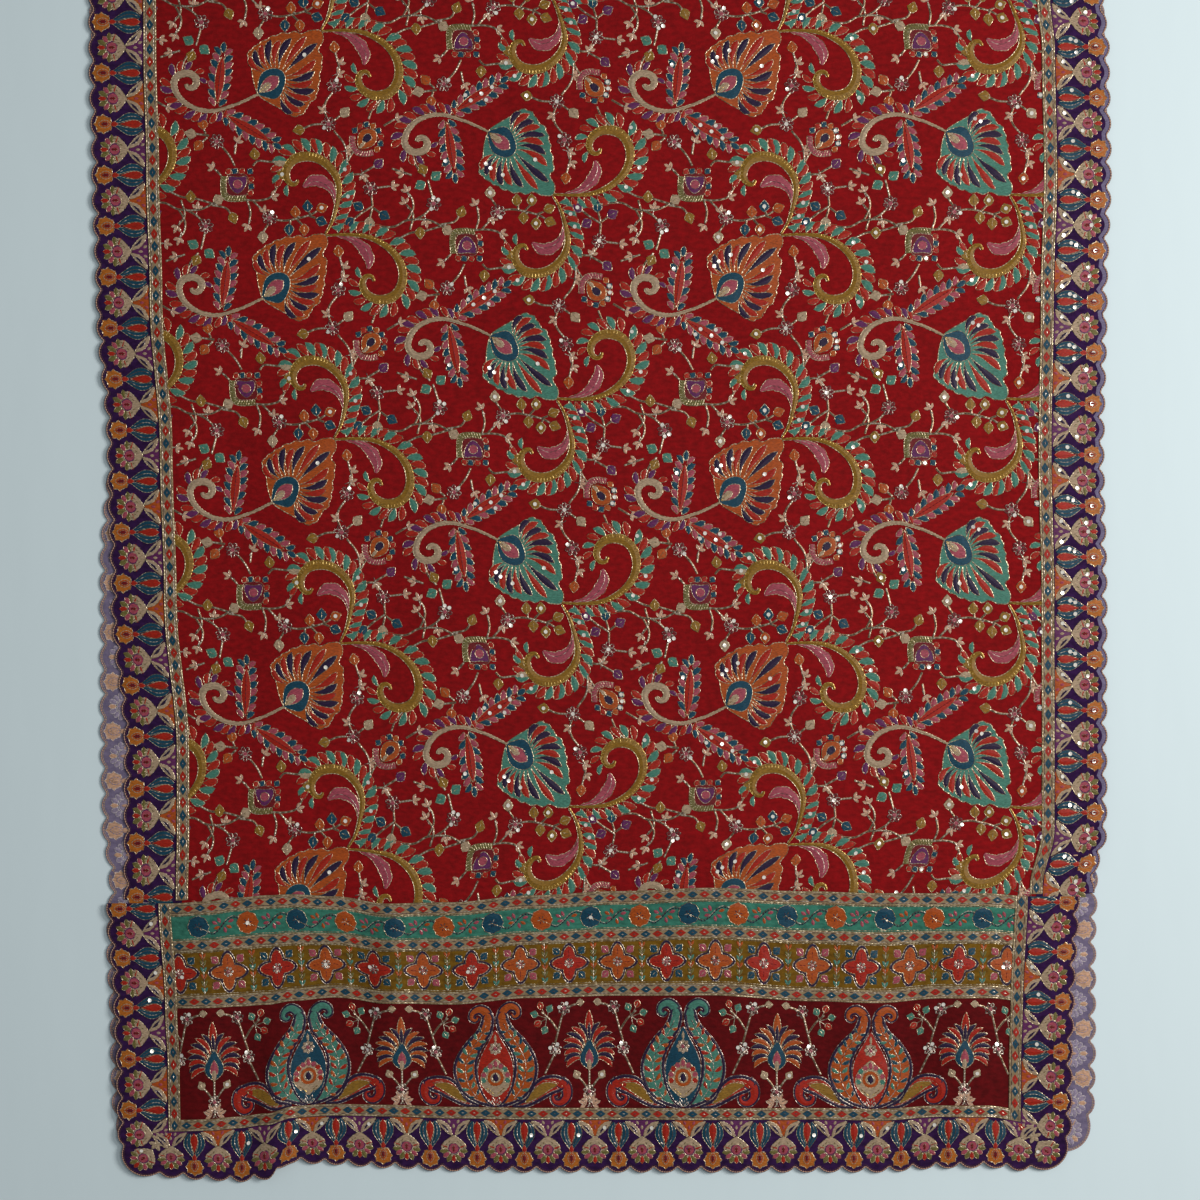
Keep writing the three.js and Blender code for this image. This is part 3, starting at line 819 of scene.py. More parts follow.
    def sequin(self, x: float, y: float, level: float) -> None:
        """A round sequin, sewn a little askew.

        Args:
            x: where, across.
            y: where, along.
            level: its height.
        """
        tilt = self.rng.normal(0, 0.15, 2)
        rim = arc((0, 0), SEQUIN_RADIUS, 8, self.rng.random())
        points = np.column_stack([rim + (x, y), level + rim @ tilt])
        points = np.vstack([points, [x, y, level - 0.12]])
        i = np.arange(8)
        self.add(points, np.column_stack([i, (i + 1) % 8, np.full(8, 8)]), SEQUIN)

    def sprinkle(self, x: float, y: float, chance: float, level: float = 1.0) -> None:
        """A sequin, if chance has it."""
        if self.rng.random() < chance:
            self.sequin(x, y, level)

    def hooked(self, points: Points, widths: Sequence[float], thread: Thread, level: float = 0.3) -> None:
        """A tapering curl of floss between dark edges and bright ones.

        Args:
            points: its middle line.
            widths: along it, evenly spaced.
            thread: its thread.
            level: height of the ground it lies on.
        """
        line = curve(points, 2.2)
        wide = np.interp(np.linspace(0, 1, len(line)), np.linspace(0, 1, len(widths)), widths)
        self.ribbon(line, wide, thread, level + 0.1, 0.4)
        for sign in (-1, 1):
            edge = line + sideways(line) * (sign * (wide / 2 + 0.7))[:, None]
            self.ribbon(edge, 1.7, NAVY, level, 0.35)
            self.couch(edge + sideways(line) * sign * 1.2, SILVER, 0.9, level)

    # ---- small motifs ----
    def rosette(self, x: float, y: float, radius: float = 6.4, petal: Thread | None = None,
                eye: Thread = PINK, petals: int = 7, turn: float = 0.2, sequins: float = 0.2,
                level: float = 0.25) -> None:
        """A small round flower of looped silver petals.

        Args:
            x: its middle, across.
            y: its middle, along.
            radius: to the tips of its petals.
            petal: their thread, or None for open loops.
            eye: the thread of its eye.
            petals: how many.
            turn: the first one's direction, in radians.
            sequins: the chance of a sequin on its eye.
            level: height of the ground it lies on.
        """
        for k in range(petals):
            way = heading(math.degrees(turn) + k * 360 / petals)
            self.leaf((x, y) + way * radius * 0.26, (x, y) + way * radius * 1.02, radius * 0.6, petal, 0,
                      level, 1.2, SILVER, 1.5, 0.25)
            self.sprinkle(*((x, y) + way * radius * 0.74), sequins * 0.5, level + 0.6)
        self.patch(arc((x, y), radius * 0.32, 6), eye, level + 0.25, 0.15, 4, SILVER, 0.8)
        self.sprinkle(x, y, sequins, level + 0.75)

    def bud(self, x: float, y: float, angle: float, size: float, thread: Thread,
            sequins: float = 0.1) -> None:
        """A square-leaved bud, with its point away from the stem.

        Args:
            x: its middle, across.
            y: its middle, along.
            angle: where its point is, in degrees.
            size: its length.
            thread: its thread.
            sequins: the chance of a sequin on it.
        """
        way = heading(angle)
        left = np.array([-way[1], way[0]])
        shape = [(-0.52, 0), (-0.3, -0.34), (0.02, -0.5), (0.14, -0.36), (0.3, -0.26), (0.6, 0), (0.3, 0.26),
                 (0.14, 0.36), (0.02, 0.5), (-0.3, 0.34)]
        ring = np.array([(x, y) + (way * a + left * b) * size for a, b in shape])
        self.patch(ring, thread, 0.25, 0.3, 3.4, ZARI, 1.0)
        self.couch(np.array([(x, y) - way * size * 0.3, (x, y) + way * size * 0.25]), ZARI, 0.8, 0.6)
        self.sprinkle(x, y, sequins)

    def sprig(self, x: float, y: float, angle: float, size: float,
              petal: Thread = PALE_WARM) -> None:
        """Three little leaves at the end of a stem.

        Args:
            x: where the stem ends, across.
            y: where it ends, along.
            angle: its direction, in degrees.
            size: length of the middle leaf.
            petal: the leaves' thread.
        """
        self.couch(np.array([(x, y) - heading(angle) * size * 0.7, (x, y)]), SILVER, 1.3, 0.15, pitch=2.6)
        for turn, length in ((-52, 0.8), (0, 1.0), (52, 0.8)):
            self.leaf((x, y), (x, y) + heading(angle + turn) * size * length, size * 0.4, petal, 0, 0.2, 1.1,
                      SILVER, 1.05, 0.2)

    def vine(self, points: Points, gauge: float = 2.7) -> None:
        """A stem of dull gold with silver cord couched over it.

        Args:
            points: its line.
            gauge: its width.
        """
        line = curve(points, 3.0)
        self.ribbon(line, gauge * 0.72, ZARI_DIM, 0.1, 0.3)
        self.couch(line, SILVER, gauge * 0.6, 0.28, pitch=2.8)

    def fringe(self, line: np.ndarray, start: float, end: float, count: int, side: float, length: float,
               width: float, threads: Sequence[Thread], lean: float = 40, sequins: float = 0.0,
               level: float = 0.2) -> None:
        """Leaflets along one side of a curve, leaning forward.

        Args:
            line: the curve.
            start: share of the curve where the first one grows.
            end: share where the last one grows.
            count: how many.
            side: 1 for the left of the curve, -1 for its right.
            length: of the longest.
            width: of the widest.
            threads: their threads, in turn.
            lean: how far each turns forward, in degrees.
            sequins: the chance of a sequin on each.
            level: height of the ground they lie on.
        """
        normals = sideways(line)
        for i, share in enumerate(np.linspace(start, end, count)):
            k = min(int(share * (len(line) - 1)), len(line) - 1)
            out = normals[k] * side
            along = np.array([normals[k][1], -normals[k][0]])
            size = 0.62 + 0.38 * math.sin(math.pi * (i + 0.7) / count) ** 0.7
            way = out * math.cos(math.radians(lean)) + along * math.sin(math.radians(lean))
            base = line[k] + out
            self.leaf(base, base + way * length * size, width * size, threads[i % len(threads)],
                      0.1 * length * side, level, 1.2)
            self.sprinkle(*(base + way * length * size * 0.55), sequins)


# ---- the field's trailing repeat ----
# The repeat is charted on squares of this many millimetres, from its upper left corner down.
SQUARE = 1.552
# the chart square that the palmette's tip is on
TIP = (97, 50)


def chart(points: Points) -> list[tuple[float, float]]:
    """Turn chart squares into millimetres from the palmette's tip, upwards."""
    return [((x - TIP[0]) * SQUARE, (TIP[1] - y) * SQUARE) for x, y in points]


def charted(x: float, y: float) -> tuple[float, float]:
    """Turn one chart square into millimetres."""
    return chart([(x, y)])[0]


@dataclass
class TrailingRepeat:
    """One group of the field: a palmette on a curled stem, feathers, two hooks and their sprigs."""

    body: Thread = ORANGE
    cluster: tuple[Thread, Thread] = (ORANGE, BLUE)
    spray: tuple[Thread, Thread] = (BLUE, CREAM)
    sequins: float = 0.2

    def draw(self) -> Stitchery:
        """Draw the group, with its palmette's tip at the origin.

        Returns:
            The drawing.
        """
        art = Stitchery()
        self.vines(art)
        self.hooks(art)
        self.stem(art)
        self.feather(art, (33, 97), (38, 60.5))
        self.feather(art, (36, 99), (68.6, 119))
        self.palmette(art)
        self.square_flower(art, 44.6, 142.4)
        self.medallion(art, 122.5, 115)
        self.sprays(art)
        return art

    def palmette(self, art: Stitchery) -> None:
        """The fan-shaped flower with its flames and its drop.

        Args:
            art: the drawing.
        """
        plain = curve(chart([
            (58, 88), (55.5, 80), (54.5, 71), (52.3, 64.5), (56, 60), (64, 55), (72, 52), (80, 51),
            (86.5, 51.5), (91, 50), (97, 50), (97.6, 56), (95.2, 61.5), (97.4, 67.5), (96, 74), (95.2, 80),
            (94, 86), (92, 91), (88.5, 94), (85, 99.5), (79, 101.5), (73.5, 98), (67, 94.5), (61, 91),
        ]), 2.6, closed=True)
        heart = np.array(charted(67, 82))
        turn = np.degrees(np.arctan2(*(plain - heart).T[::-1]))
        spacing = 185 / 15
        wave = 0.028 * np.cos(2 * math.pi * (turn - 128) / spacing)
        ripple = np.where((turn < 134) & (turn > -62), wave, 0)
        near_tip = np.linalg.norm(plain, axis=1) < 9
        ring = heart + (plain - heart) * (1 + np.where(near_tip, 0, ripple))[:, None]
        art.patch(ring, self.body, 0.2, 0.15, 7, ZARI, 1.3)
        drop = curve(chart([(58, 88), (58.3, 82), (60, 76.5), (64, 73.5), (69, 72.6), (73.4, 74.5), (75, 79),
                            (73.5, 85), (71, 89.5), (67.5, 91.2), (63, 90)]), 3.0, closed=True)
        for i in range(16):
            angle = 128 - spacing * i
            far = reach_to(ring, heart, angle)
            low = heart + heading(angle) * (reach_to(drop, heart, angle) + 0.8)
            high = heart + heading(angle) * (far - (3.2 if far < 45 else 7))
            bend = 3.6 if angle > 60 else (1.2 if angle > 34 else -3.6)
            art.leaf(low, high, min(max(0.17 * far, 5.0), 6.8), NAVY if i % 2 else FLAME, bend, 0.4, 1.8)
            art.sprinkle(*(low * 0.4 + high * 0.6), self.sequins * 0.9, 1.2)
        art.patch(drop, BLUE, 0.45, 0.25, 7, ZARI, 1.0)
        low, high = (np.array(p) for p in chart([(58.8, 87.3), (71, 77.5)]))
        art.leaf(low, high, 13.0, PINK, 0, 0.7, 1.3)
        art.leaf(low, low * 0.35 + high * 0.65, 6.6, CREAM, 0, 0.95, 1.2)
        art.couch(curve([low, low * 0.5 + high * 0.5], 3), GOLD, 0.9, 1.3)

    def stem(self, art: Stitchery) -> None:
        """The thick curled stem and its leaflets.

        Args:
            art: the drawing.
        """
        line = curve(chart([
            (58.5, 88), (48, 93), (38, 96.5), (30, 98.3), (22, 97.3), (15, 94), (10, 89), (7.8, 83),
            (8.6, 79), (12, 76.2), (17, 75.7), (20.5, 77.5), (21.6, 81.3), (19.3, 84.6), (16, 84.2),
            (15.2, 82.2),
        ]), 2.6)
        t = np.linspace(0, 1, len(line))
        widths = np.interp(t, [0, 0.25, 0.5, 0.72, 0.88, 1], [1.8, 2.6, 4.2, 6.2, 6.4, 3.2])
        art.fringe(line, 0.24, 0.88, 16, 1, 14.5, 7.0, (FLAME, PURPLE))
        art.ribbon(line, widths, CREAM, 0.35, 0.6)
        art.edged(line, sideways(line) * (widths / 2)[:, None], 1.0, 0.4)

    def feather(self, art: Stitchery, base: tuple[float, float], tip: tuple[float, float]) -> None:
        """A feathered leaf: a red lance with pink and blue leaflets down both sides.

        Args:
            art: the drawing.
            base: the chart square where it grows.
            tip: the chart square where it ends.
        """
        low, high = (np.array(p) for p in chart([base, tip]))
        along = high - low
        way = along / float(np.hypot(*along))
        left = np.array([-way[1], way[0]])
        for i in range(8):
            start = low + along * (0.04 + 0.118 * i)
            size = 0.7 + 0.3 * math.sin(math.pi * (i + 1) / 9)
            for side in (1, -1):
                root = start + left * side * 2.6 * size
                end = root + (way * 9.4 + left * side * 8.8) * size
                colour = PINK if (i + (side > 0)) % 2 else BLUE
                art.leaf(root, end, 6.8 * size, colour, -1.3 * side, 0.2, 1.2)
                art.sprinkle(*((root + end) / 2), self.sequins * 0.5)
        art.leaf(low + along * 0.92, high + way * 6, 5.8, BLUE, 0, 0.3, 1.0)
        art.leaf(low + along * 0.08, low + along * 0.88, 9.0, FLAME, 0, 0.5, 1.1)
        art.couch(curve([low + along * 0.2, low + along * 0.78], 3), CRIMSON, 1.1, 0.95, pitch=4)
        if art.rng.random() < self.sequins * 2.2:
            for k in range(3):
                art.sequin(*(low + along * (0.38 + 0.2 * k)), 1.5)

    def hooks(self, art: Stitchery) -> None:
        """The two hooked leaves beside the palmette's tip, each with a pink crescent in its bend.

        Args:
            art: the drawing.
        """
        shapes = [
            ([(97, 50.5), (110, 50), (122, 51.3), (132, 56), (139, 62.5), (142.6, 70), (142.8, 78),
              (139.5, 85), (133.5, 88.6), (126, 88.4), (120.4, 84.6), (118.6, 79), (120.8, 75), (124.4, 75),
              (125.6, 78)], 1,
             [(104, 51), (112, 52.5), (119.5, 58), (123, 65), (122, 70.5)]),
            ([(96.8, 49.5), (101, 42), (104, 32), (105.5, 23), (104, 15.6), (100, 9.6), (94, 5), (87, 3.2),
              (79.6, 4.4), (74.8, 9.4), (73.8, 15), (76, 19.2), (79.6, 20), (81, 17.2)], -1,
             [(103.5, 33), (102, 24.5), (97, 19), (90, 17.6), (84, 21.5)]),
        ]
        for points, side, crescent in shapes:
            line = curve(chart(points), 2.9)
            t = np.linspace(0, 1, len(line))
            widths = np.interp(t, [0, 0.15, 0.45, 0.7, 0.88, 1], [1.4, 3.0, 6.8, 9.0, 6.0, 2.0])
            out = sideways(line) * (widths / 2)[:, None] * side
            art.fringe(line + out * 0.6, 0.07, 0.93, 25, side, 16.5, 7.8, (TEAL, FLAME), 38,
                       self.sequins * 0.5)
            art.ribbon(line, widths, MUSTARD, 0.35, 0.8)
            art.couch(line + out, GOLD, 1.2, 0.4)
            art.couch(line - out, ZARI, 1.1, 0.4)
            for k in range(int(len(line) * 0.16), int(len(line) * 0.93)):
                stroke = np.array([line[k] - out[k] * 0.4, line[k] + out[k] * 0.95])
                art.couch(stroke, GOLD, 1.25, 0.8, pitch=4.2)
            moon = curve(chart(crescent), 2.2)
            m = np.linspace(0, 1, len(moon))
            wide = np.interp(m, [0, 0.3, 0.62, 0.85, 1], [1.0, 6.0, 11.5, 9.0, 2.0])
            wide *= 1 + 0.12 * np.sin(m * 34)
            art.ribbon(moon, wide, PINK, 0.2, 0.5)
            rim = sideways(moon) * (wide / 2)[:, None]
            art.couch(np.vstack([moon + rim, (moon - rim)[::-1]]), ZARI, 1.0, 0.25, closed=True)
            art.couch(moon[2:-2] + rim[2:-2] * 0.2, SILVER, 0.8, 0.7, pitch=4)

    def beads(self, art: Stitchery, places: Points, threads: Sequence[Thread]) -> None:
        """Small square beads of floss, each outlined.

        Args:
            art: the drawing.
            places: their middles.
            threads: their threads, in turn.
        """
        for k, (x, y) in enumerate(places):
            ring = arc((x, y), 3.6, 4, math.pi / 4 + 0.1)
            art.patch(ring, threads[k % len(threads)], 0.3, 0.3, 4, ZARI, 0.95)
            art.sprinkle(x, y, self.sequins * 0.7)

    def hatch(self, art: Stitchery, points: Points, width: float, thread: Thread) -> None:
        """A band of floss crossed by metal stitches.

        Args:
            art: the drawing.
            points: its middle line.
            width: its width.
            thread: its floss.
        """
        line = curve(points, 2.6)
        art.ribbon(line, width, thread, 0.25, 0.4)
        side = sideways(line) * width / 2
        for k in range(len(line) - 1):
            art.couch(np.array([line[k] - side[k], line[k + 1] + side[k + 1]]), ZARI, 0.95, 0.6, pitch=3.4)
        art.edged(line, side, 0.9, 0.3)

    def square_flower(self, art: Stitchery, x: float, y: float) -> None:
        """A square flower with beads on two sides and hatching on the others.

        Args:
            art: the drawing.
            x: its middle on the chart, across.
            y: its middle, down.
        """
        middle = np.array(charted(x, y))
        beads = [(-8.5, 12.2), (-2.4, 12.6), (3.9, 12.8), (11.8, 12.6), (12.8, 4.9), (12.6, -1.4),
                 (11.8, -7.8)]
        self.beads(art, middle + beads, (FLAME, BLUE))
        self.hatch(art, middle + [(-12.5, 8), (-13.2, -3), (-11.5, -11.5), (-3, -13), (8, -12.2)], 5.4, OLIVE)
        ground = middle + [(-9, 9), (9, 9), (9, -9), (-9, -9)]
        art.patch(curve(ground, 3, True), CRIMSON, 0.3, 0.1, 7, ZARI, 0.9)
        petal = middle + [(-8.5, 7.5), (1, 7), (8.5, 8), (7.5, -1), (0, -8.5), (-7, -2)]
        art.patch(curve(petal, 3, True), PURPLE, 0.45, 0.2, 6, ZARI, 0.9)
        art.patch(arc(middle + (0, 0.5), 4.6, 8), PINK, 0.8, 0.25, 5, ZARI, 0.9)
        art.sprinkle(*(middle + (0, 0.5)), self.sequins * 1.5, 1.4)

    def medallion(self, art: Stitchery, x: float, y: float) -> None:
        """A heart-shaped medallion in a rim of beads and hatching.

        Args:
            art: the drawing.
            x: its middle on the chart, across.
            y: its middle, down.
        """
        middle = np.array(charted(x, y))
        ring = [middle + (13.4 * math.cos(a), 13.4 * math.sin(a)) for a in 2.5 - np.arange(8) * 0.47]
        self.beads(art, ring, (BLUE, FLAME, BLUE, ORANGE))
        self.hatch(art, middle + [(-13.4, 3), (-13.2, -6), (-9, -12.4), (-1, -13.8), (6, -12.4)], 5.2, PINK)
        body = middle + [(-7, -9), (-8.6, 0), (-5, 8), (3, 9.6), (8.6, 7.6), (9.6, 0.5), (6.5, -5.5),
                         (0, -8.2)]
        art.patch(curve(body, 3, True), ORANGE, 0.4, 0.25, 6, ZARI, 1.1)
        core = middle + [(-3.6, -4), (-3.6, 1.4), (-0.5, 5), (3.8, 5), (5.2, 0.6), (1, -2.8)]
        art.patch(curve(core, 2.4, True), NAVY, 0.7, 0.2, 5, ZARI, 0.9)
        art.leaf(middle + (-7, -8.5), middle + (-1.2, -2.2), 3.2, CREAM, 0, 0.85)
        art.sprinkle(*middle, self.sequins * 1.2, 1.4)

    def vines(self, art: Stitchery) -> None:
        """The stems that tie the group together.

        Args:
            art: the drawing.
        """
        stems = [
            [(-14, 32), (0, 31), (9, 35), (22, 35), (33, 29.5)], [(29, 32.5), (37, 34), (40.5, 38)],
            [(13, 35), (20, 39), (25, 45)], [(25, 46), (23.5, 52), (21.5, 59)],
            [(20, 61), (15, 67), (12.5, 74)], [(9, 35), (12.5, 42), (12, 48), (9, 52)],
            [(48, 29), (57, 29.5), (64.5, 27.5), (68, 22), (70, 17)], [(50, 29), (52, 36), (51, 43)],
            [(54, 30), (61, 37)], [(63, 43), (61, 46), (59, 49)],
            [(66, 41), (74, 41.5), (87, 38.5), (92, 36)], [(80, 41), (83, 44)], [(87, 38.5), (91, 40)],
            [(76, 41), (75.5, 44)], [(88, 38), (87, 36)], [(82, 40), (80, 38.6)],
            [(109, 15), (119, 14), (124, 20)], [(119, 13.5), (127, 9)], [(125, 26), (125.5, 33)],
            [(128, 22), (136, 21)], [(125.5, 33), (119, 37), (114, 41)], [(125.5, 34), (123.8, 40)],
            [(126, 34), (130, 37)], [(139, 53.5), (148, 49), (156, 48), (170, 44)],
            [(148, 47), (150, 38), (146, 32)], [(105, 63), (107.5, 74), (105, 79)],
            [(103, 87), (98.5, 93), (98, 99), (99.5, 103)], [(96, 106), (90, 106.5), (84, 109)],
            [(103, 104), (107, 101)], [(103, 110), (109, 118), (110.5, 127), (109.5, 135)],
            [(111, 128), (114, 123), (117, 121)], [(133, 107), (140, 103)], [(28, 113), (20, 112)],
            [(26, 112), (24.7, 108.5)], [(27, 114), (23.5, 117)], [(35, 119), (40, 125), (43, 131)],
            [(43, 124), (44, 118)], [(35, 137), (31, 133)], [(54, 131), (57, 128), (63, 128.5), (69, 129)],
            [(0, 66), (6, 64), (12, 62)], [(124, 103), (127, 96), (133, 90)],
        ]
        for stem in stems:
            art.vine(chart(stem))

    def sprays(self, art: Stitchery) -> None:
        """Rosettes, buds and sprigs along the stems.

        Args:
            art: the drawing.
        """
        for x, y in ((63.5, 40), (25, 45), (104, 83), (100, 106), (32.5, 116.5), (124.5, 22.5)):
            art.rosette(*charted(x, y), 7.6, CRIMSON, sequins=self.sequins * 1.2)
        warm, cool = self.cluster
        first, second = self.spray
        buds = [
            (79, 36.5, 90, warm), (84, 47, -90, warm), (95, 34, 20, warm), (86.5, 33, 90, cool),
            (94.5, 42, -20, cool), (75, 47, -90, cool), (59, 51.5, -90, CREAM), (41.5, 40, -70, MUSTARD),
            (16.5, 27.5, 90, MUSTARD), (55, 124, 95, MUSTARD), (70, 129, 0, CREAM),
            (17, 56, 150, TEAL), (26.5, 61.5, -40, TEAL), (18.5, 65.5, 240, MUSTARD),
            (111.5, 42.5, 225, first), (132.5, 38.5, -30, first), (123.5, 43, -90, second),
            (129.5, 7.5, 45, PURPLE), (117, 33, 150, first), (104.5, 60, 95, ORANGE), (110, 99, 50, CREAM),
            (82, 109.5, 190, MUSTARD), (24.5, 106, 90, ORANGE), (17, 112, 170, CREAM),
            (21.5, 119, 230, ORANGE), (71.5, 14, 70, MUSTARD), (33, 29, 30, CREAM),
            (134, 88.5, 30, CREAM),
        ]
        for x, y, angle, thread in buds:
            art.bud(*charted(x, y), angle, 10.6, thread, self.sequins)
        sprigs = [
            (9, 52, -110), (50.5, 44, -120), (65, 27.5, 20), (137, 21, 10), (145.5, 31.5, 120),
            (140.5, 103, 20), (30.5, 132.5, 150), (44.5, 117, 60), (7, 63, 190), (107.5, 70, 60),
            (98, 98, 150), (120, 14, -70), (60, 37, 80), (20, 35, 80), (110, 122, 10), (106, 76, 20),
        ]
        for x, y, angle in sprigs:
            art.sprig(*charted(x, y), angle, 8.0)


# ---- borders, braids and bands ----
@dataclass
class BorderMotifs:
    """The two motifs that take turns in the scallops, drawn from the braid down to the scallop at y = 0."""

    depth: float = 51.0
    sequins: float = 0.1
    seed: int = 0

    def down(self, points: Points) -> np.ndarray:
        """Turn (along, distance from the braid) into drawing millimetres."""
        return np.array([(x, self.depth - w) for x, w in points], float)

    def palmette(self, triangle: Thread | None) -> Stitchery:
        """A palmette and the crossing leaves above it.

        Args:
            triangle: the thread of the triangle behind the leaves, or None to leave out both.

        Returns:
            The drawing.
        """
        art = Stitchery(self.seed)
        if triangle is not None:
            ground = whole([(0, 16.4), (7.4, 8.4), (14.4, 0.5), (0, 0.5)])
            art.patch(self.down(ground), triangle, 0.2, 0.15, 5)
            for side in (-1, 1):
                low, high = self.down([(side * 1.4, 16.8), (side * 16.6, 1.2)])
                art.leaf(low, high, 6.6, CREAM, 1.4 * side, 0.3, 0.95)
                art.leaf(*self.down([(side * 4.6, 13.4), (side * 12.4, 5.2)]), 2.4, NAVY, 0.8 * side, 0.7,
                         0.95, SILVER, 0.8)
                art.sprinkle(*self.down([(side * 9.6, 7.6)])[0], self.sequins * 2, 1.3)
            for x, w, angle in ((0, 9.5, 90), (-3.4, 4.8, 120), (3.4, 4.8, 60)):
                start = self.down([(x, w)])[0]
                art.leaf(start, start + heading(angle) * 4.4, 2.6, PINK if triangle is ORANGE else CREAM,
                         0, 0.45, 1.0, SILVER, 0.8)
        heart = self.down([(0, 29.8)])[0]
        for i in range(9):
            way = heading(-90 + (i - 4) * 27)
            art.leaf(heart + way * 5.0, heart + way * (14.4 if i % 2 else 13.4), 5.4,
                     (FLAME, OLIVE, PINK, OLIVE)[i % 4], 0, 0.25, 1.1, ZARI, 1.2)
        calyx = whole([(0, 16.0), (4.6, 18.8), (9.6, 22.6), (12.8, 27.4), (11.4, 30.4), (7.2, 30.2),
                       (4.4, 32.6), (0, 31)])
        art.patch(self.down(calyx), CREAM, 0.4, 0.25, 5, ZARI, 1.1)
        for side in (-1, 1):
            for x, w in ((3.4, 21.4), (6.4, 23.8), (9.2, 26.8)):
                spot = self.down([(side * x, w)])[0]
                stroke = np.array([spot, spot + heading(-90 + 34 * side) * 3.2])
                art.couch(stroke, OLIVE, 1.0, 0.85, pitch=4)
        art.patch(arc(heart + (0, 0.8), 6.2, 10), PURPLE, 0.6, 0.2, 5, ZARI, 1.0)
        art.patch(arc(heart + (0, 0.8), 4.8, 9), PINK, 0.85, 0.2, 5)
        art.leaf(heart + (0, 4.2), heart + (0, -2.4), 3.2, CRIMSON, 0, 1.05, 1.0, CREAM, 0.9)
        for x, y in ((0, -3.4), (-8, -2), (8, -2), (-7, 6), (7, 6)):
            art.sprinkle(*(heart + (x, y)), self.sequins, 1.35)
        return art

    def tulip(self) -> Stitchery:
        """A lobed orange flower with a red drop and two blue-green leaves above it.

        Returns:
            The drawing.
        """
        art = Stitchery(self.seed + 20)
        turn = np.linspace(0, 2 * math.pi, 33)[:-1]
        reach = 7.2 + 2.4 * (1 - np.abs(np.sin(4 * turn)))
        away = np.cos(turn) * reach
        petals = self.down([(0, 38.6)]) + np.column_stack([np.sin(turn) * reach * (1 + away / 60), -away])
        art.patch(petals, AMBER, 0.25, 0.2, 5, ZARI, 1.0)
        art.leaf(*self.down([(0, 24.6), (0, 32.6)]), 5.0, FLAME, 0, 0.5, 1.1, CREAM, 0.9)
        art.leaf(*self.down([(0, 31.6), (0, 44)]), 8.0, ORANGE, 0, 0.6, 0.9, CREAM, 1.4)
        art.leaf(*self.down([(0, 33.6), (0, 41.4)]), 4.2, CRIMSON, 0, 1.0, 0.9, CREAM, 0.8)
        for side in (-1, 1):
            middle = mirrored([(0.9, 29), (3.4, 23.4), (6.7, 16.5), (7.0, 9.5), (4.4, 2.6)], side)
            line = curve(self.down(middle), 2.8)
            t = np.linspace(0, 1, len(line))
            widths = np.interp(t, [0, 0.2, 0.55, 0.8, 1], [1.0, 3.8, 7.0, 6.0, 2.0])
            art.ribbon(line, widths, BLUE, 0.3, 0.4)
            art.edged(line, sideways(line) * (widths / 2)[:, None], 0.9, 0.3)
            art.couch(line[2:-1], SILVER, 1.0, 0.75, pitch=2.8)
            for k in (4, 6):
                art.sprinkle(*line[k], self.sequins * 2, 1.2)
        low, high = self.down([(0, 24), (0, 2.2)])
        art.leaf(low, high, 7.8, FLAME, 0, 0.55, 1.55, gauge=0.9)
        art.sprinkle(*self.down([(0, 38)])[0], self.sequins * 1.5, 1.3)
        return art


@dataclass
class Braid:
    """Flat woven braid: cream ground, bright edges and a row of red and blue diamonds."""

    pitch: float = 11.5
    width: float = 12.0

    def draw(self, length: float) -> Stitchery:
        """Draw a length of braid along the x axis from 0, with its middle at y = 0.

        Args:
            length: in millimetres.

        Returns:
            The drawing.
        """
        art = Stitchery()
        count = max(1, round(length / self.pitch))
        each = length / count
        half = self.width / 2
        for i in range(count):
            x = (i + 0.5) * each
            colour = FLAME if i % 2 else BLUE
            ring = np.array([(x - each * 0.45, 0), (x - each * 0.08, -2.9), (x + each * 0.08, -2.9),
                             (x + each * 0.45, 0), (x + each * 0.08, 2.9), (x - each * 0.08, 2.9)])
            art.patch(ring, colour, 0.25, 0.2, 9)
            art.couch(np.array([(x - 1.4, 0), (x + 1.4, 0)]), SILVER, 1.2, 0.4)
        edges = np.array([(0.0, 0.0), (length, 0.0)])
        for sign in (-1, 1):
            art.couch(edges + (0, sign * (half - 0.7)), ZARI, 1.3, 0.15)
            art.couch(edges + (0, sign * (half - 2.3)), CORD, 0.8, 0.1, pitch=4.2)
            art.couch(edges + (0, sign * 3.4), SILVER, 1.0, 0.15, pitch=3.8)
        return art


def edge_rows(art: Stitchery, low: float, high: float) -> None:
    """Couch a bright line just inside each edge of a band."""
    for y in (low + 0.5, high - 0.5):
        art.couch(np.array([(-BAND_LINE_U, y), (BAND_LINE_U, y)]), ZARI, 1.1, 0.2)


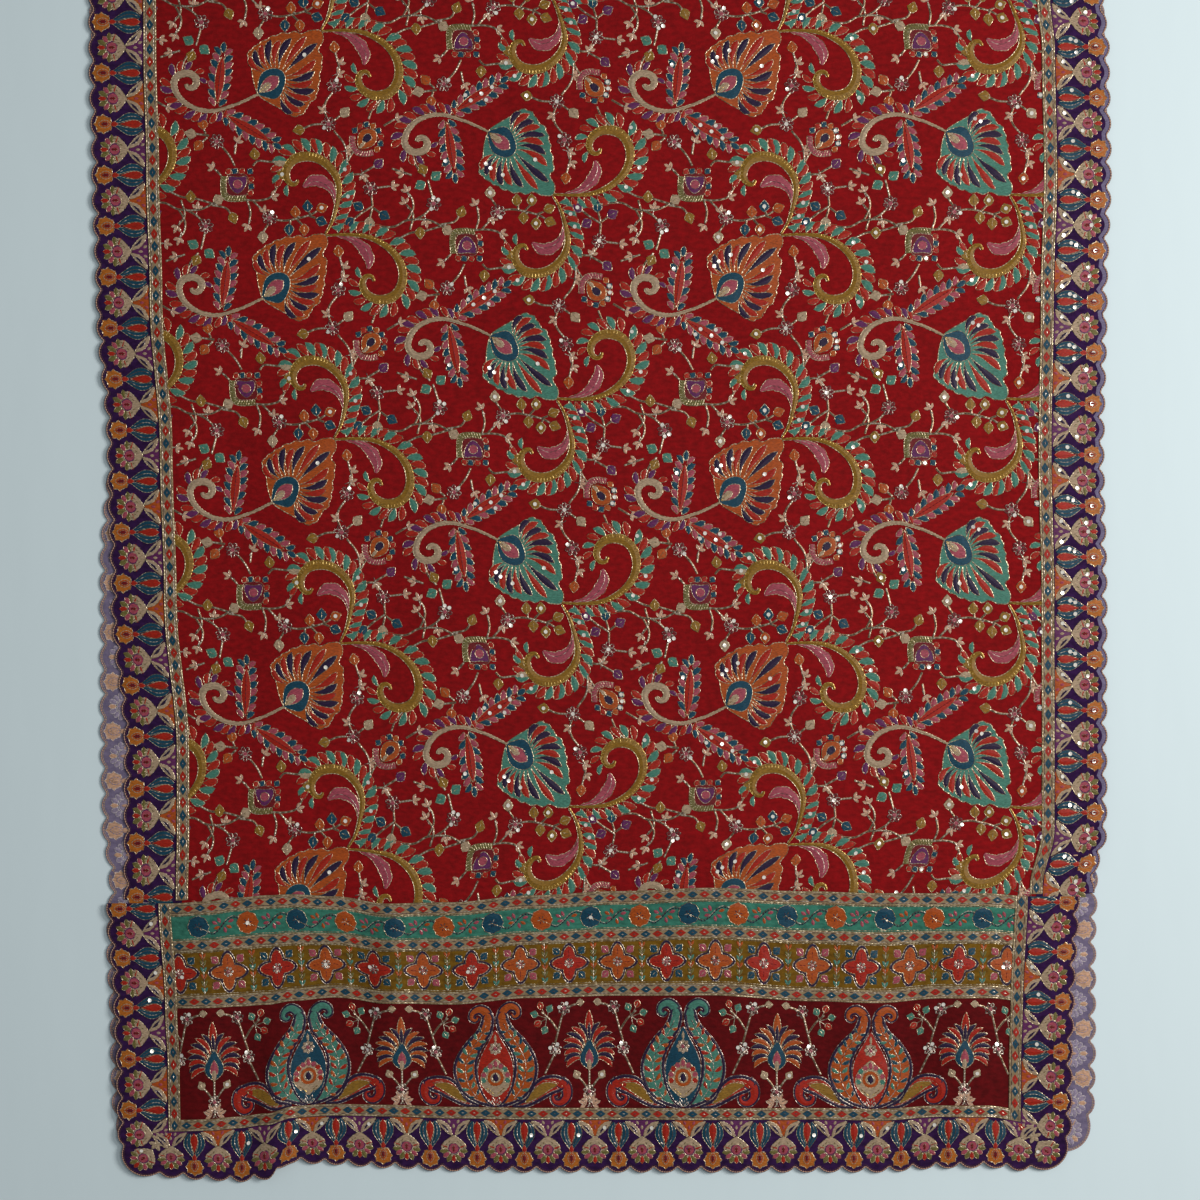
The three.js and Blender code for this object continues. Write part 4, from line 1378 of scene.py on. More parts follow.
@dataclass
class GreenBand:
    """The green band: rosettes on a wavy vine with little sprigs."""

    low: float = 231.0
    high: float = 254.4
    pitch: float = 48.0

    def draw(self) -> Stitchery:
        """Draw the band across the whole pallu, with its bright edge lines last.

        Returns:
            The drawing.
        """
        art = Stitchery()
        middle = (self.low + self.high) / 2
        for i in range(17):
            x = (i - 8) * self.pitch - 2.5
            colour = BLUE if i % 2 == 0 else ORANGE
            turn = np.arange(32) * 2 * math.pi / 32
            lobes = 10.3 * (1 + 0.07 * np.cos(8 * turn))
            ring = np.column_stack([x + lobes * np.cos(turn), middle + lobes * np.sin(turn)])
            steps = [(8.5, -4.5), (14, -7), (21, -2.5), (27, 4), (34, 7), (40, 5)]
            wave = curve(steps + np.array([x, middle]), 3)
            art.couch(wave + (0, -0.9), NAVY, 1.5, 0.1)
            art.couch(wave + (0, 0.4), SILVER, 1.2, 0.25)
            art.couch(curve([(x - 2, middle + 1), (x + 8.5, middle - 4.5)], 3), ZARI, 0.9, 0.95)
            art.patch(ring, colour, 0.3, 0.3, 5, ZARI, 1.0)
            for k in range(6):
                way = heading(60 * k + 10)
                stroke = np.array([(x, middle) + way * 1.2, (x, middle) + way * 4.6])
                art.couch(stroke, SILVER if k % 2 else NAVY, 1.2, 0.7)
            sprigs = ((19, 1.5, 150), (22, 2, 115), (21, -1, 195), (27, -1, -30), (25, -2, -75), (29, 2, 15))
            for px, py, angle in sprigs:
                low = np.array([x + px, middle + py])
                art.leaf(low, low + heading(angle) * 6.2, 3.2, PINK if (i + px) % 3 else ORANGE, 0, 0.2, 1.1,
                         SILVER, 0.9)
            art.sprinkle(x, middle, 0.06, 1.2)
        edge_rows(art, self.low, self.high)
        return art


@dataclass
class MustardBand:
    """The mustard band: four-petalled stars between leafy uprights."""

    low: float = 178.8
    high: float = 219.2
    pitch: float = 48.0

    @staticmethod
    def star(x: float, y: float, tip: float, notch: float) -> np.ndarray:
        """The outline of four broad petals with pointed tips.

        Args:
            x: its middle, across.
            y: its middle, along.
            tip: from the middle to a tip.
            notch: from the middle to a notch between petals.

        Returns:
            An (n, 2) array.
        """
        turn = np.arange(48) * 2 * math.pi / 48
        lean = np.abs(np.cos(2 * turn))
        radius = notch + (tip - notch) * (0.72 * lean**1.1 + 0.28 * lean**9)
        return np.column_stack([x + radius * np.cos(turn), y + radius * np.sin(turn)])

    def draw(self) -> Stitchery:
        """Draw the band across the whole pallu, with its bright edge lines last.

        Returns:
            The drawing.
        """
        art = Stitchery()
        middle = (self.low + self.high) / 2
        for i in range(18):
            x = (i - 8.5) * self.pitch - 0.5
            colour, corner = (FLAME, BLUE) if i % 2 == 0 else (ORANGE, PINK)
            for k in range(4):
                spot = (x, middle) + heading(45 + 90 * k) * 17.6 * (1.0, 0.96)
                art.bud(*spot, 45 + 90 * k, 8.6, corner, 0.03)
            art.patch(self.star(x, middle, 20.2, 10.6), NAVY, 0.2, 0.1, 7, SILVER, 1.1)
            inner = self.star(x, middle, 17.4, 8.0)
            art.patch(inner, colour, 0.45, 0.35, 6, ZARI, 1.2)
            for k in range(4):
                way = heading(90 * k)
                vein = np.array([(x, middle) + way * 6, (x, middle) + way * 13])
                art.couch(vein, CRIMSON, 0.9, 0.75, pitch=4)
            art.rosette(x, middle, 5.6, None, PINK, 7, 0, 0.08, 0.9)
            upright = x + self.pitch / 2
            art.couch(np.array([(upright, self.low), (upright, self.high)]), SILVER, 1.2, 0.2)
            for row, y in enumerate(np.linspace(self.low + 1.5, self.high - 7, 6)):
                for side in (-1, 1):
                    petal = (TEAL, OLIVE, ORANGE)[row % 3]
                    art.leaf((upright + side * 0.6, y), (upright + side * 3.2, y + 5.4), 2.6, petal,
                             0.5 * side, 0.2, 1.1, ZARI, 0.8)
        edge_rows(art, self.low, self.high)
        return art


@dataclass
class PaisleyPanel:
    """The wide dark band: pots of paired paisleys with small palmettes between them."""

    low: float = 62.6
    pitch: float = 186.5

    def draw(self) -> Stitchery:
        """Draw the panel across the whole pallu.

        Returns:
            The drawing.
        """
        art = Stitchery()
        teal = self.pair(TEAL, BLUE, ORANGE, FLAME)
        fire = self.pair(ORANGE, FLAME, BLUE, TEAL)
        small = [self.palmette(body) for body in (FLAME, ORANGE)]
        for k in range(-2, 3):
            x = 88.0 + k * self.pitch
            if -400 < x < 400:
                art.repeat(teal if k % 2 == 0 else fire, np.array([(1, 0, x), (0, 1, self.low)]))
        for k in range(-3, 3):
            x = 88.0 + (k + 0.5) * self.pitch
            if abs(x) < 390:
                art.repeat(small[1 if k in (0, -2) else 0], np.array([(1, 0, x), (0, 1, self.low)]))
        return art

    @staticmethod
    def triple(art: Stitchery, ring: np.ndarray, level: float) -> None:
        """A dark outline between two bright ones.

        Args:
            art: the drawing.
            ring: an (n, 2) array, in order.
            level: height of the ground it lies on.
        """
        closed = np.vstack([ring, ring[:1]])
        art.ribbon(closed, 2.6, NAVY, level, 0.4)
        for sign in (-1, 1):
            art.couch(closed + sideways(closed) * sign * 1.5, SILVER, 0.95, level + 0.1)

    def pair(self, body: Thread, drop: Thread, leaves: Thread, berries: Thread) -> Stitchery:
        """A pot of two mirrored paisleys, with its base at the origin.

        Args:
            body: the paisleys' thread.
            drop: the thread of the drop between them.
            leaves: the thread of the leaves on their vines.
            berries: the thread that takes turns with it.

        Returns:
            The drawing.
        """
        art = Stitchery()
        for side in (-1, 1):
            self.curl(art, side)
        for side in (-1, 1):
            outer = curve(mirrored([
                (1.5, 0.5), (19, 5), (32, 14), (39, 26.5), (40.7, 38.7), (37, 51), (28, 64), (16.8, 75.3),
                (12.7, 83.4), (10.5, 90), (5.5, 92), (2.6, 88), (2.2, 82.4), (4.6, 73.2), (10.7, 64),
                (16.8, 54), (19.8, 42.7), (18.8, 28.5), (13.7, 14.2), (6.6, 4)], side), 2.8, True)
            art.patch(outer, body, 0.25, 0.3)
            self.triple(art, outer, 0.3)
            art.hooked(mirrored([(6.6, 85), (8.6, 92.5), (15, 96.6), (21.6, 94), (23, 88.6), (19, 86),
                                 (17, 89)], side),
                       (8.6, 7.6, 6.6, 5.4, 4.0, 2.8, 1.6), body)
            vine = curve(mirrored([(18, 8), (26, 19), (30, 33), (29, 46), (22.5, 59), (13.5, 71), (8.5, 81)],
                                  side), 3)
            art.couch(vine, SILVER, 1.2, 0.65)
            for both in (-1, 1):
                art.fringe(vine, 0.05, 0.9, 9, both, 9.0, 4.2, (leaves, berries), level=0.6)
        half = [(0, 75), (-5.5, 66), (-14, 51), (-17.6, 38), (-16, 22), (-9.5, 8), (0, 1)]
        ring = curve(whole(half), 3.2, True)
        art.patch(ring, drop, 0.45, 0.25)
        art.couch(ring, SILVER, 1.1, 0.5, closed=True)
        self.heart(art, berries)
        art.rosette(0, 57, 6.6, CREAM, PINK, 8, 0, 0.4, 0.75)
        art.leaf((0, 63), (0, 71), 2.6, CREAM, 0, 0.8)
        for angle, length in ((48, 9), (70, 11), (110, 11), (132, 9)):
            art.leaf(heading(angle) * 2, heading(angle) * length, 2.6, None, 0, 0.75, 1.0, SILVER)
        return art

    def curl(self, art: Stitchery, side: int) -> None:
        """A low curled leaf beside the pot.

        Args:
            art: the drawing.
            side: -1 on the left and 1 on the right.
        """
        ring = curve(mirrored([
            (17, 1.5), (31, 8), (38, 21), (47, 28), (58, 29.5), (66, 27.5), (71.5, 23), (65, 17), (56, 13.5),
            (44.2, 7.4), (34, 2.6), (26, 0.6)], side), 2.8, True)
        art.patch(ring, FLAME, 0.2, 0.2)
        self.triple(art, ring, 0.3)
        art.hooked(mirrored([(64, 24.5), (70, 19), (70.6, 10.5), (65, 4.6), (58.4, 5.6), (56.8, 11),
                             (61, 13)], side),
                   (9.0, 8.6, 7.4, 5.8, 4.2, 2.8, 1.4), FLAME)
        core = curve(mirrored([(29, 4), (34, 12), (41, 20), (50, 24), (62, 22), (54.4, 17.3), (42.2, 9.4)],
                              side), 2.8, True)
        art.patch(core, MUSTARD, 0.5, 0.2, 7, ZARI, 1.1)
        art.couch(curve(mirrored([(48, 25.6), (60, 24.4), (67.5, 19), (70, 11)], side), 3), ZARI, 0.9, 0.5,
                  pitch=4)

    @staticmethod
    def heart(art: Stitchery, berries: Thread) -> None:
        """The pointed medallion in the drop.

        Args:
            art: the drawing.
            berries: the thread of every other berry on it.
        """
        half = [(0, 47), (-5, 43), (-12, 36), (-15, 27), (-13, 20), (-6, 13), (0, 9.5)]
        ring = curve(whole(half), 3, True)
        art.patch(ring, CREAM, 0.7, 0.2, 6, ZARI, 1.1)
        for k in range(9):
            spot = (0, 28.5) + heading(-12 + k * 25.5) * (12.2, 12.5)
            art.patch(arc(spot, 3.0, 6), berries if k % 2 == 0 else PINK, 0.95, 0.2, 4, ZARI, 0.8)
        art.leaf((0, 38), (0, 46), 5.4, PINK, 0, 1.0)
        art.patch(arc((0, 28.5), 8.6, 14), ORANGE, 0.95, 0.2, 5, ZARI, 1.0)
        art.patch(arc((0, 28.5), 5.2, 10), CREAM, 1.2, 0.1, 5)
        art.leaf((0, 23.8), (0, 33.8), 6.8, NAVY, 0, 1.35, 0.8)
        for side in (-1, 1):
            art.couch(np.array([(side * 1.5, 12.5), (side * 9.5, 19)]), GOLD, 1.3, 1.0, pitch=3)

    def palmette(self, body: Thread) -> Stitchery:
        """A small palmette on a short stem, with its sprays and buds, base at the origin.

        Args:
            body: the thread that takes turns with navy in its petals.

        Returns:
            The drawing.
        """
        art = Stitchery()
        heart = np.array([0, 50.0])
        for side in (-1, 1):
            for i, angle in enumerate(np.linspace(-26, 72, 8)):
                way = heading(angle) * (side, 1)
                reach = 24 + 9 * max(0.0, math.sin(math.radians(angle)))
                low = heart + way * (6.5, 10)
                art.leaf(low, heart + way * reach + (side * 1.5, -2), 5.0, NAVY if i % 2 else body,
                         4.2 * side, 0.3, 1.3, gauge=1.05)
        art.leaf(heart + (0, 14), heart + (0, 41), 7.8, body, 0, 0.35, 0.9)
        art.leaf(heart + (0, 12), heart + (0, 30), 3.6, NAVY, 0, 0.6, 0.9)
        drop = whole([(0, 15), (-4, 8), (-9, -1), (-8.5, -8), (-3, -13), (0, -14)])
        art.patch(curve(np.array(drop) + heart, 3, True), BLUE, 0.5, 0.25, 5, ZARI, 1.1)
        art.leaf(heart + (0, -12), heart + (0, 5), 8.4, PINK, 0, 0.8, 0.8)
        art.leaf(heart + (0, -16), heart + (0, -3), 4.4, CREAM, 0, 1.0, 1.0)
        art.vine([(0, 2), (0, 18), tuple(heart + (0, -15))])
        art.rosette(0, 15.5, 6.6)
        for side in (-1, 1):
            art.sprig(side * 3, 3, 90 - side * 66, 9)
            art.sprig(side * 2, 7, 90 - side * 30, 8)
            art.vine([(side * 2, 18), (side * 7, 25), (side * 11, 29)])
            art.bud(side * 12.5, 31, 90 - side * 30, 8.4, CREAM)
            art.vine([(side * 10, 97), (side * 18, 95), (side * 25, 90), (side * 30, 74), (side * 34, 60)])
            art.vine([(side * 31, 72), (side * 38, 82), (side * 47, 90)])
            art.vine([(side * 34, 52), (side * 39, 42), (side * 44, 32)])
            art.rosette(side * 24.5, 93, 6.8)
            art.rosette(side * 34, 55, 6.8, sequins=0.5)
            art.bud(side * 8.5, 98, 90 + side * 85, 7.6, CREAM)
            for px, py, angle, thread in ((39, 93, 120, TEAL), (48, 96, 75, FLAME), (54, 88, 15, TEAL),
                                          (51, 79, -30, FLAME), (44, 73, -60, TEAL)):
                art.vine([(side * 42, 84), (side * (42 + px) / 2, (84 + py) / 2), (side * px, py)], 1.2)
                art.bud(side * px, py, angle if side > 0 else 180 - angle, 7.8, thread, 0.06)
        return art


# ---- meshes ----
def scallop_rise(share: np.ndarray) -> np.ndarray:
    """How far the scalloped edge stands past its notches, at a share of one scallop."""
    half = SCALLOP / 2
    radius = (half**2 + SCALLOP_DEPTH**2) / (2 * SCALLOP_DEPTH)
    return np.sqrt(radius**2 - ((share - 0.5) * SCALLOP) ** 2) - (radius - SCALLOP_DEPTH)


def side_edge(s: np.ndarray, phase: float) -> np.ndarray:
    """Distance of a scalloped side edge from the centre line."""
    edge = HALF_WIDTH - SCALLOP_DEPTH + scallop_rise(((s - phase) / SCALLOP) % 1)
    return np.where(s > BEND_START, HALF_WIDTH - SCALLOP_DEPTH / 2, edge)


def end_edge(top: float, steps: int) -> tuple[np.ndarray, np.ndarray]:
    """The pallu border's scalloped outer edge and the seam points beside it.

    Args:
        top: how far up the sides it goes.
        steps: segments to a scallop.

    Returns:
        The edge and the seam, each (n, 2), down the right side, along the hem and up the left side.
    """
    inner = SEAM_U + SEAM_GAP
    s = np.arange(CORNER_EDGE_S, top, SCALLOP / steps)
    s = np.append(s, top)[::-1]
    right = np.column_stack([side_edge(s, CORNER_EDGE_S), s])
    right_seam = np.column_stack([np.full_like(s, inner), np.maximum(s, END_SEAM)])
    start = math.atan2(CORNER_EDGE_S - CORNER_S, HALF_WIDTH - SCALLOP_DEPTH - CORNER_U)
    end = -math.pi + math.atan2(CORNER_S - SCALLOP_DEPTH, CORNER_U - CORNER_EDGE_U)
    angle = np.linspace(start, end, 2 * steps + 1)[1:-1]
    lobe = np.column_stack([CORNER_U + CORNER_RADIUS * np.cos(angle),
                            CORNER_S + CORNER_RADIUS * np.sin(angle)])
    lobe_seam = np.tile([inner, END_SEAM], (len(angle), 1))
    u = np.linspace(CORNER_EDGE_U, -CORNER_EDGE_U, HEM_SCALLOPS * steps + 1)
    share = ((u + CORNER_EDGE_U) / (2 * CORNER_EDGE_U / HEM_SCALLOPS)) % 1
    hem = np.column_stack([u, SCALLOP_DEPTH - scallop_rise(share)])
    hem_seam = np.column_stack([np.clip(u, -inner, inner), np.full_like(u, END_SEAM)])
    side, side_seam = np.vstack([right, lobe]), np.vstack([right_seam, lobe_seam])
    mirror = np.array([-1, 1])
    edge = np.vstack([side, hem, side[::-1] * mirror])
    return edge, np.vstack([side_seam, hem_seam, side_seam[::-1] * mirror])


def clean_select() -> None:
    """Deselect everything."""
    for thing in bpy.context.selected_objects:
        thing.select_set(False)


@dataclass
class Workroom:
    """Turns flat drawings into laid objects."""

    finishes: Finishes

    def sheet_mesh(self, name: str, lay: Lay, grid: np.ndarray, material: bpy.types.Material,
                   thickness: float, rise: float = 0.0) -> bpy.types.Object:
        """Lay a grid of flat points and give it the thickness of cloth.

        Args:
            name: the object's name.
            lay: how it lies.
            grid: (rows, columns, 2) flat points.
            material: its finish.
            thickness: in millimetres.
            rise: height of its middle above its cloth's middle.

        Returns:
            The object.
        """
        rows, columns = grid.shape[:2]
        flat = np.column_stack([grid.reshape(-1, 2), np.full(rows * columns, rise)])
        placed = lay.place(flat)
        i = (np.arange(rows - 1)[:, None] * columns + np.arange(columns - 1)).ravel()
        quads = np.column_stack([i, i + 1, i + columns + 1, i + columns])
        mesh = bpy.data.meshes.new(name)
        mesh.from_pydata(placed.tolist(), [], quads.tolist())
        made = bpy.data.objects.new(name, mesh)
        bpy.context.collection.objects.link(made)
        made.data.materials.append(material)
        clean_select()
        bpy.context.view_layer.objects.active = made
        made.select_set(True)
        bpy.ops.object.mode_set(mode="EDIT")
        bpy.ops.mesh.select_all(action="SELECT")
        bpy.ops.mesh.remove_doubles(threshold=1e-6)
        bpy.ops.mesh.normals_make_consistent(inside=False)
        bpy.ops.object.mode_set(mode="OBJECT")
        if made.data.polygons and sum(p.normal.z for p in made.data.polygons) < 0:
            made.data.flip_normals()
        wall = made.modifiers.new("cloth", "SOLIDIFY")
        wall.thickness = thickness * MM
        wall.offset = 0.0
        bpy.ops.object.modifier_apply(modifier="cloth")
        bpy.ops.object.shade_smooth_by_angle(angle=math.radians(50))
        return made

    def stitch_mesh(self, name: str, lay: Lay, art: Stitchery, base: float = CLOTH / 2) -> bpy.types.Object:
        """Lay a drawing on its cloth.

        Args:
            name: the object's name.
            lay: how its cloth lies.
            art: the drawing.
            base: height of the cloth's face above its middle.

        Returns:
            The object.
        """
        points, faces, threads = art.merged()
        points = points + (0, 0, base)
        a, b, c = (points[faces[:, k]] for k in range(3))
        area = np.linalg.norm(np.cross(b - a, c - a), axis=1) / 2
        keep = area > 2e-3
        faces, threads = faces[keep], threads[keep]
        used, packed = np.unique(faces, return_inverse=True)
        faces = packed.reshape(-1, 3)
        placed = lay.place(points[used])
        mesh = bpy.data.meshes.new(name)
        mesh.from_pydata(placed.tolist(), [], faces.tolist())
        colour = np.array([linear(t.value) for t in THREADS])[threads]
        layer = mesh.color_attributes.new("Thread", "FLOAT_COLOR", "CORNER")
        layer.data.foreach_set("color", np.repeat(colour, 3, axis=0).ravel())
        for material in (self.finishes.floss, self.finishes.zari, self.finishes.sequin):
            mesh.materials.append(material)
        kinds = np.zeros(len(THREADS), int)
        kinds[METAL] = 1
        kinds[THREADS.index(SEQUIN)] = 2
        mesh.polygons.foreach_set("material_index", kinds[threads])
        made = bpy.data.objects.new(name, mesh)
        bpy.context.collection.objects.link(made)
        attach(made, "root")
        LOG.info("%s: %d faces", name, len(faces))
        return made

    @staticmethod
    def declare(cloth: bpy.types.Object, node_name: str, flat: tuple[float, float],
                pieces: Sequence[bpy.types.Object], slot: str = "crimson_crepe") -> None:
        """Args:
            cloth: the sheet.
            node_name: the node it stands for.
            flat: its cut width and length in millimetres; not used.
            pieces: what is sewn on it; not used.
            slot: a name for its finish; not used.
        """
        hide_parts(node_name)
        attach(cloth, "root")
        LOG.info("%s laid, %d faces", cloth.name, len(cloth.data.polygons))

    def sewn_sheet(self, name: str, lay: Lay, grid: np.ndarray, art: Stitchery, flat: tuple[float, float],
                   finish: bpy.types.Material, slot: str) -> None:
        """Args:
            name: its node.
            lay: how it lies.
            grid: its flat points.
            art: its embroidery.
            flat: its cut width and length in millimetres.
            finish: its material.
            slot: a name for its finish.
        """
        cloth = self.sheet_mesh(f"crepe_{name}", lay, grid, finish, 1.0)
        sewn = self.stitch_mesh(f"stitches_{name}", lay, art, 0.5)
        self.declare(cloth, name, flat, [sewn], slot)


def steps_between(low: float, high: float, step: float) -> np.ndarray:
    """Even steps from low to high, no longer than step."""
    return np.linspace(low, high, max(2, math.ceil((high - low) / step) + 1))


def flat_grid(u: np.ndarray, s: np.ndarray) -> np.ndarray:
    """A grid of flat points."""
    return np.stack(np.meshgrid(u, s), axis=-1)


def edge_grid(seam: np.ndarray, edge: np.ndarray, columns: int) -> np.ndarray:
    """A grid from a seam to an edge."""
    share = np.linspace(0, 1, columns)[None, :, None]
    return seam[:, None, :] * (1 - share) + edge[:, None, :] * share


@dataclass
class Field:
    """The long red ground with its trailing embroidery, upper and lower half."""

    room: Workroom
    cell: float = 8.0

    def build(self) -> None:
        """Make the ground and its embroidery."""
        finishes = self.room.finishes
        inner = SEAM_U - BRAID_WIDTH / 2
        lay = FieldLay()
        s = np.concatenate([steps_between(FIELD_START, BEND_START - 6, self.cell),
                            steps_between(BEND_START, BACK_START, 1.4)])
        grid = flat_grid(steps_between(-SEAM_U, SEAM_U, self.cell), s)
        ground = self.room.sheet_mesh("crepe_field_front", lay, grid, finishes.crimson, 1.0)
        pieces = []
        for name, art in self.embroidery(inner).items():
            pieces.append(self.room.stitch_mesh(name, lay, art))
        self.room.declare(ground, "field_front", (2 * SEAM_U, BACK_START - FIELD_START), pieces)
        s = steps_between(PALLU_LENGTH + SEAM_GAP, BACK_LENGTH - SEAM_GAP, BACK_CELL)
        grid = flat_grid(steps_between(-SEAM_U, SEAM_U, BACK_CELL), s)
        back = self.room.sheet_mesh("crepe_field_back", BackLay(), grid, finishes.crimson, 1.1)
        self.room.declare(back, "field_back", (2 * SEAM_U, BACK_LENGTH - PALLU_LENGTH), [])

    def embroidery(self, inner: float) -> dict[str, Stitchery]:
        """Repeat the trailing group over the field, in pieces of a size to handle.

        Args:
            inner: distance of the braids' inner edges from the centre line.

        Returns:
            Each piece's drawing, by its name.
        """
        low, high = (-inner - 1.0, PALLU_LENGTH + 3), (inner + 1.0, BEND_START + 4)
        groups = {}
        for chance in (0.05, 0.17, 0.24):
            groups[chance, False] = TrailingRepeat(sequins=chance).draw()
            groups[chance, True] = TrailingRepeat(TEAL, (MUSTARD, MUSTARD),
                                                  (PURPLE, BLUE), chance).draw()
        whole = Stitchery()
        for m in range(-5, 4):
            for k in range(-2, 3):
                for turned in (False, True):
                    u = REPEAT_U + REPEAT_PITCH_U * k + (TURNED_U if turned else 0)
                    s = REPEAT_S + REPEAT_PITCH_S * m + (TURNED_S if turned else 0)
                    if -REPEAT_LEFT < u < REPEAT_RIGHT and REPEAT_LOW < s < REPEAT_HIGH:
                        # the sequin chance is low on the left and highest from the centre to the right: the
                        # sequins are real, but this spread paints the glints of the light from the right
                        group = groups[0.24 if -60 < u < 380 else 0.17 if u > -200 else 0.05, turned]
                        whole.repeat(group, np.array([(1, 0, u), (0, -1 if turned else 1, s)], float))
        points, faces, threads = whole.clipped(low, high).merged()
        shining = np.isin(threads, METAL)
        sequins = threads == THREADS.index(SEQUIN)
        top = points[faces[:, 0], 1] > FIELD_SPLIT
        parts = {
            "field_floss_lower": ~shining & ~sequins & ~top, "field_floss_upper": ~shining & ~sequins & top,
            "field_zari_lower": shining & ~top, "field_zari_upper": shining & top, "field_sequins": sequins,
        }
        made = {}
        for name, chosen in parts.items():
            art = Stitchery()
            art.add(points, faces[chosen], threads[chosen])
            made[name] = art
        return made


@dataclass
class Borders:
    """The scalloped purple borders of both halves."""

    room: Workroom
    motifs: dict[tuple[str, int, float], Stitchery] = field(default_factory=dict)

    def build(self) -> None:
        """Make every border with its embroidery."""
        for side, word, phase in ((-1, "left", LEFT_PHASE), (1, "right", RIGHT_PHASE)):
            self.side_border(f"border_{word}_front", FieldLay(), side, phase, FIELD_START, BACK_START, False)
            self.side_border(f"border_{word}_back", BackLay(), side, CORNER_EDGE_S, PALLU_LENGTH + SEAM_GAP,
                             BACK_LENGTH - SEAM_GAP, True)
        self.end_border("pallu_border", PalluLay(), False)
        self.end_border("pallu_border_back", BackLay(), True)

    def cloth(self, wrong: bool) -> tuple[bpy.types.Material, str]:
        """The material and the finish name of the side that shows."""
        finishes = self.room.finishes
        return (finishes.lavender, "wrong_side") if wrong else (finishes.aubergine, "aubergine_crepe")

    def motif(self, number: int, sequins: float = 0.08) -> Stitchery:
        """The motif of a scallop, drawn once and kept.

        Args:
            number: the scallop's number along the edge.
            sequins: the chance of a sequin.

        Returns:
            Its drawing.
        """
        kind = "tulip" if number % 2 else ("orange", "purple")[number // 2 % 2]
        key = kind, number // 4 % 3, sequins
        if key not in self.motifs:
            maker = BorderMotifs(sequins=sequins, seed=key[1])
            colour = ORANGE if kind == "orange" else PURPLE
            self.motifs[key] = maker.tulip() if kind == "tulip" else maker.palmette(colour)
        return self.motifs[key]

    def side_border(self, name: str, lay: Lay, side: int, phase: float, low: float, high: float,
                    wrong: bool) -> None:
        """One straight border and its embroidery.

        Args:
            name: its node.
            lay: how its cloth lies.
            side: -1 on the left and 1 on the right.
            phase: where one of its notches is.
            low: where it starts, from the front hem.
            high: where it ends.
            wrong: whether its wrong side shows.
        """
        top = min(high, BEND_START)
        bend = steps_between(top, high, 1.8)[1:] if high > top else []
        s = np.concatenate([steps_between(low, top, 3.2), bend])
        reach = side_edge(s, phase)
        if not wrong:
            reach = np.where(s < FIELD_BRAID_START - 1, TUCKED_EDGE_U, reach)
        edge = np.column_stack([side * reach, s])
        seam = np.column_stack([np.full_like(s, side * (SEAM_U + SEAM_GAP)), s])
        art = Stitchery()
        shown = BACK_SHOWN if wrong else top
        for k in range(math.ceil((low - phase) / SCALLOP) - 1, math.floor((shown - phase) / SCALLOP) + 1):
            number = k if wrong else k + side
            # only the upper layer's right border gets sequins: the sequins are real, but keeping them to the
            # lit right side paints its glints
            motif = self.motif(number, 0.34 if side > 0 and not wrong else 0.0)
            self.place(art, motif, side, phase + (k + 0.5) * SCALLOP, wrong)
        bare = s[(s <= BEND_START) & (s > low + (0 if wrong else 14))]
        self.edge_lines(art, np.column_stack([side * side_edge(bare, phase), bare]), side, wrong)
        span = sorted((side * (SEAM_U + 5.5), side * HALF_WIDTH))
        art = art.clipped((span[0], low + (0 if wrong else 12)), (span[1], BEND_START if wrong else top))
        self.room.sewn_sheet(name, lay, edge_grid(seam, edge, 8), art, (HALF_WIDTH - SEAM_U, high - low),
                             *self.cloth(wrong))

    @staticmethod
    def place(art: Stitchery, motif: Stitchery, side: int, s: float, wrong: bool) -> None:
        """Copy a motif into a side border, with its scallop outwards.

        Args:
            art: the border's drawing.
            motif: what is copied.
            side: -1 on the left and 1 on the right.
            s: the scallop's middle, from the front hem.
            wrong: whether the wrong side shows.
        """
        matrix = np.array([(0, -side, side * (HALF_WIDTH - 0.2)), (1, 0, s)], float)
        art.repeat(motif, matrix, WRONG_SIDE if wrong else None)

    @staticmethod
    def edge_lines(art: Stitchery, edge: np.ndarray, side: int, wrong: bool) -> None:
        """The corded edge: a pale cord, with a dark line inside it, or on the upper layer's right border a
        mauve band of painted sheen where the light from the right catches the turned cloth.

        Args:
            art: the border's drawing.
            edge: the scalloped edge, an (n, 2) array.
            side: -1 where the cloth lies right of the edge and 1 where it lies left.
            wrong: whether the wrong side shows.
        """
        inward = sideways(edge) * (1 if side > 0 else -1)
        art.couch(edge + inward * 0.7, PALE_WARM, 1.5, 0.12, pitch=2.4)
        if side > 0 and not wrong:
            # painted sheen: a mauve band inside the scallops on the lit right side
            art.ribbon(edge + inward * 3.5, 3.6, PAINTED_SHEEN_MAUVE, 0.05, 0.05)
        else:
            art.couch(edge + inward * 2.1, CREAM if wrong else CORD, 1.2, 0.12, pitch=2.6)

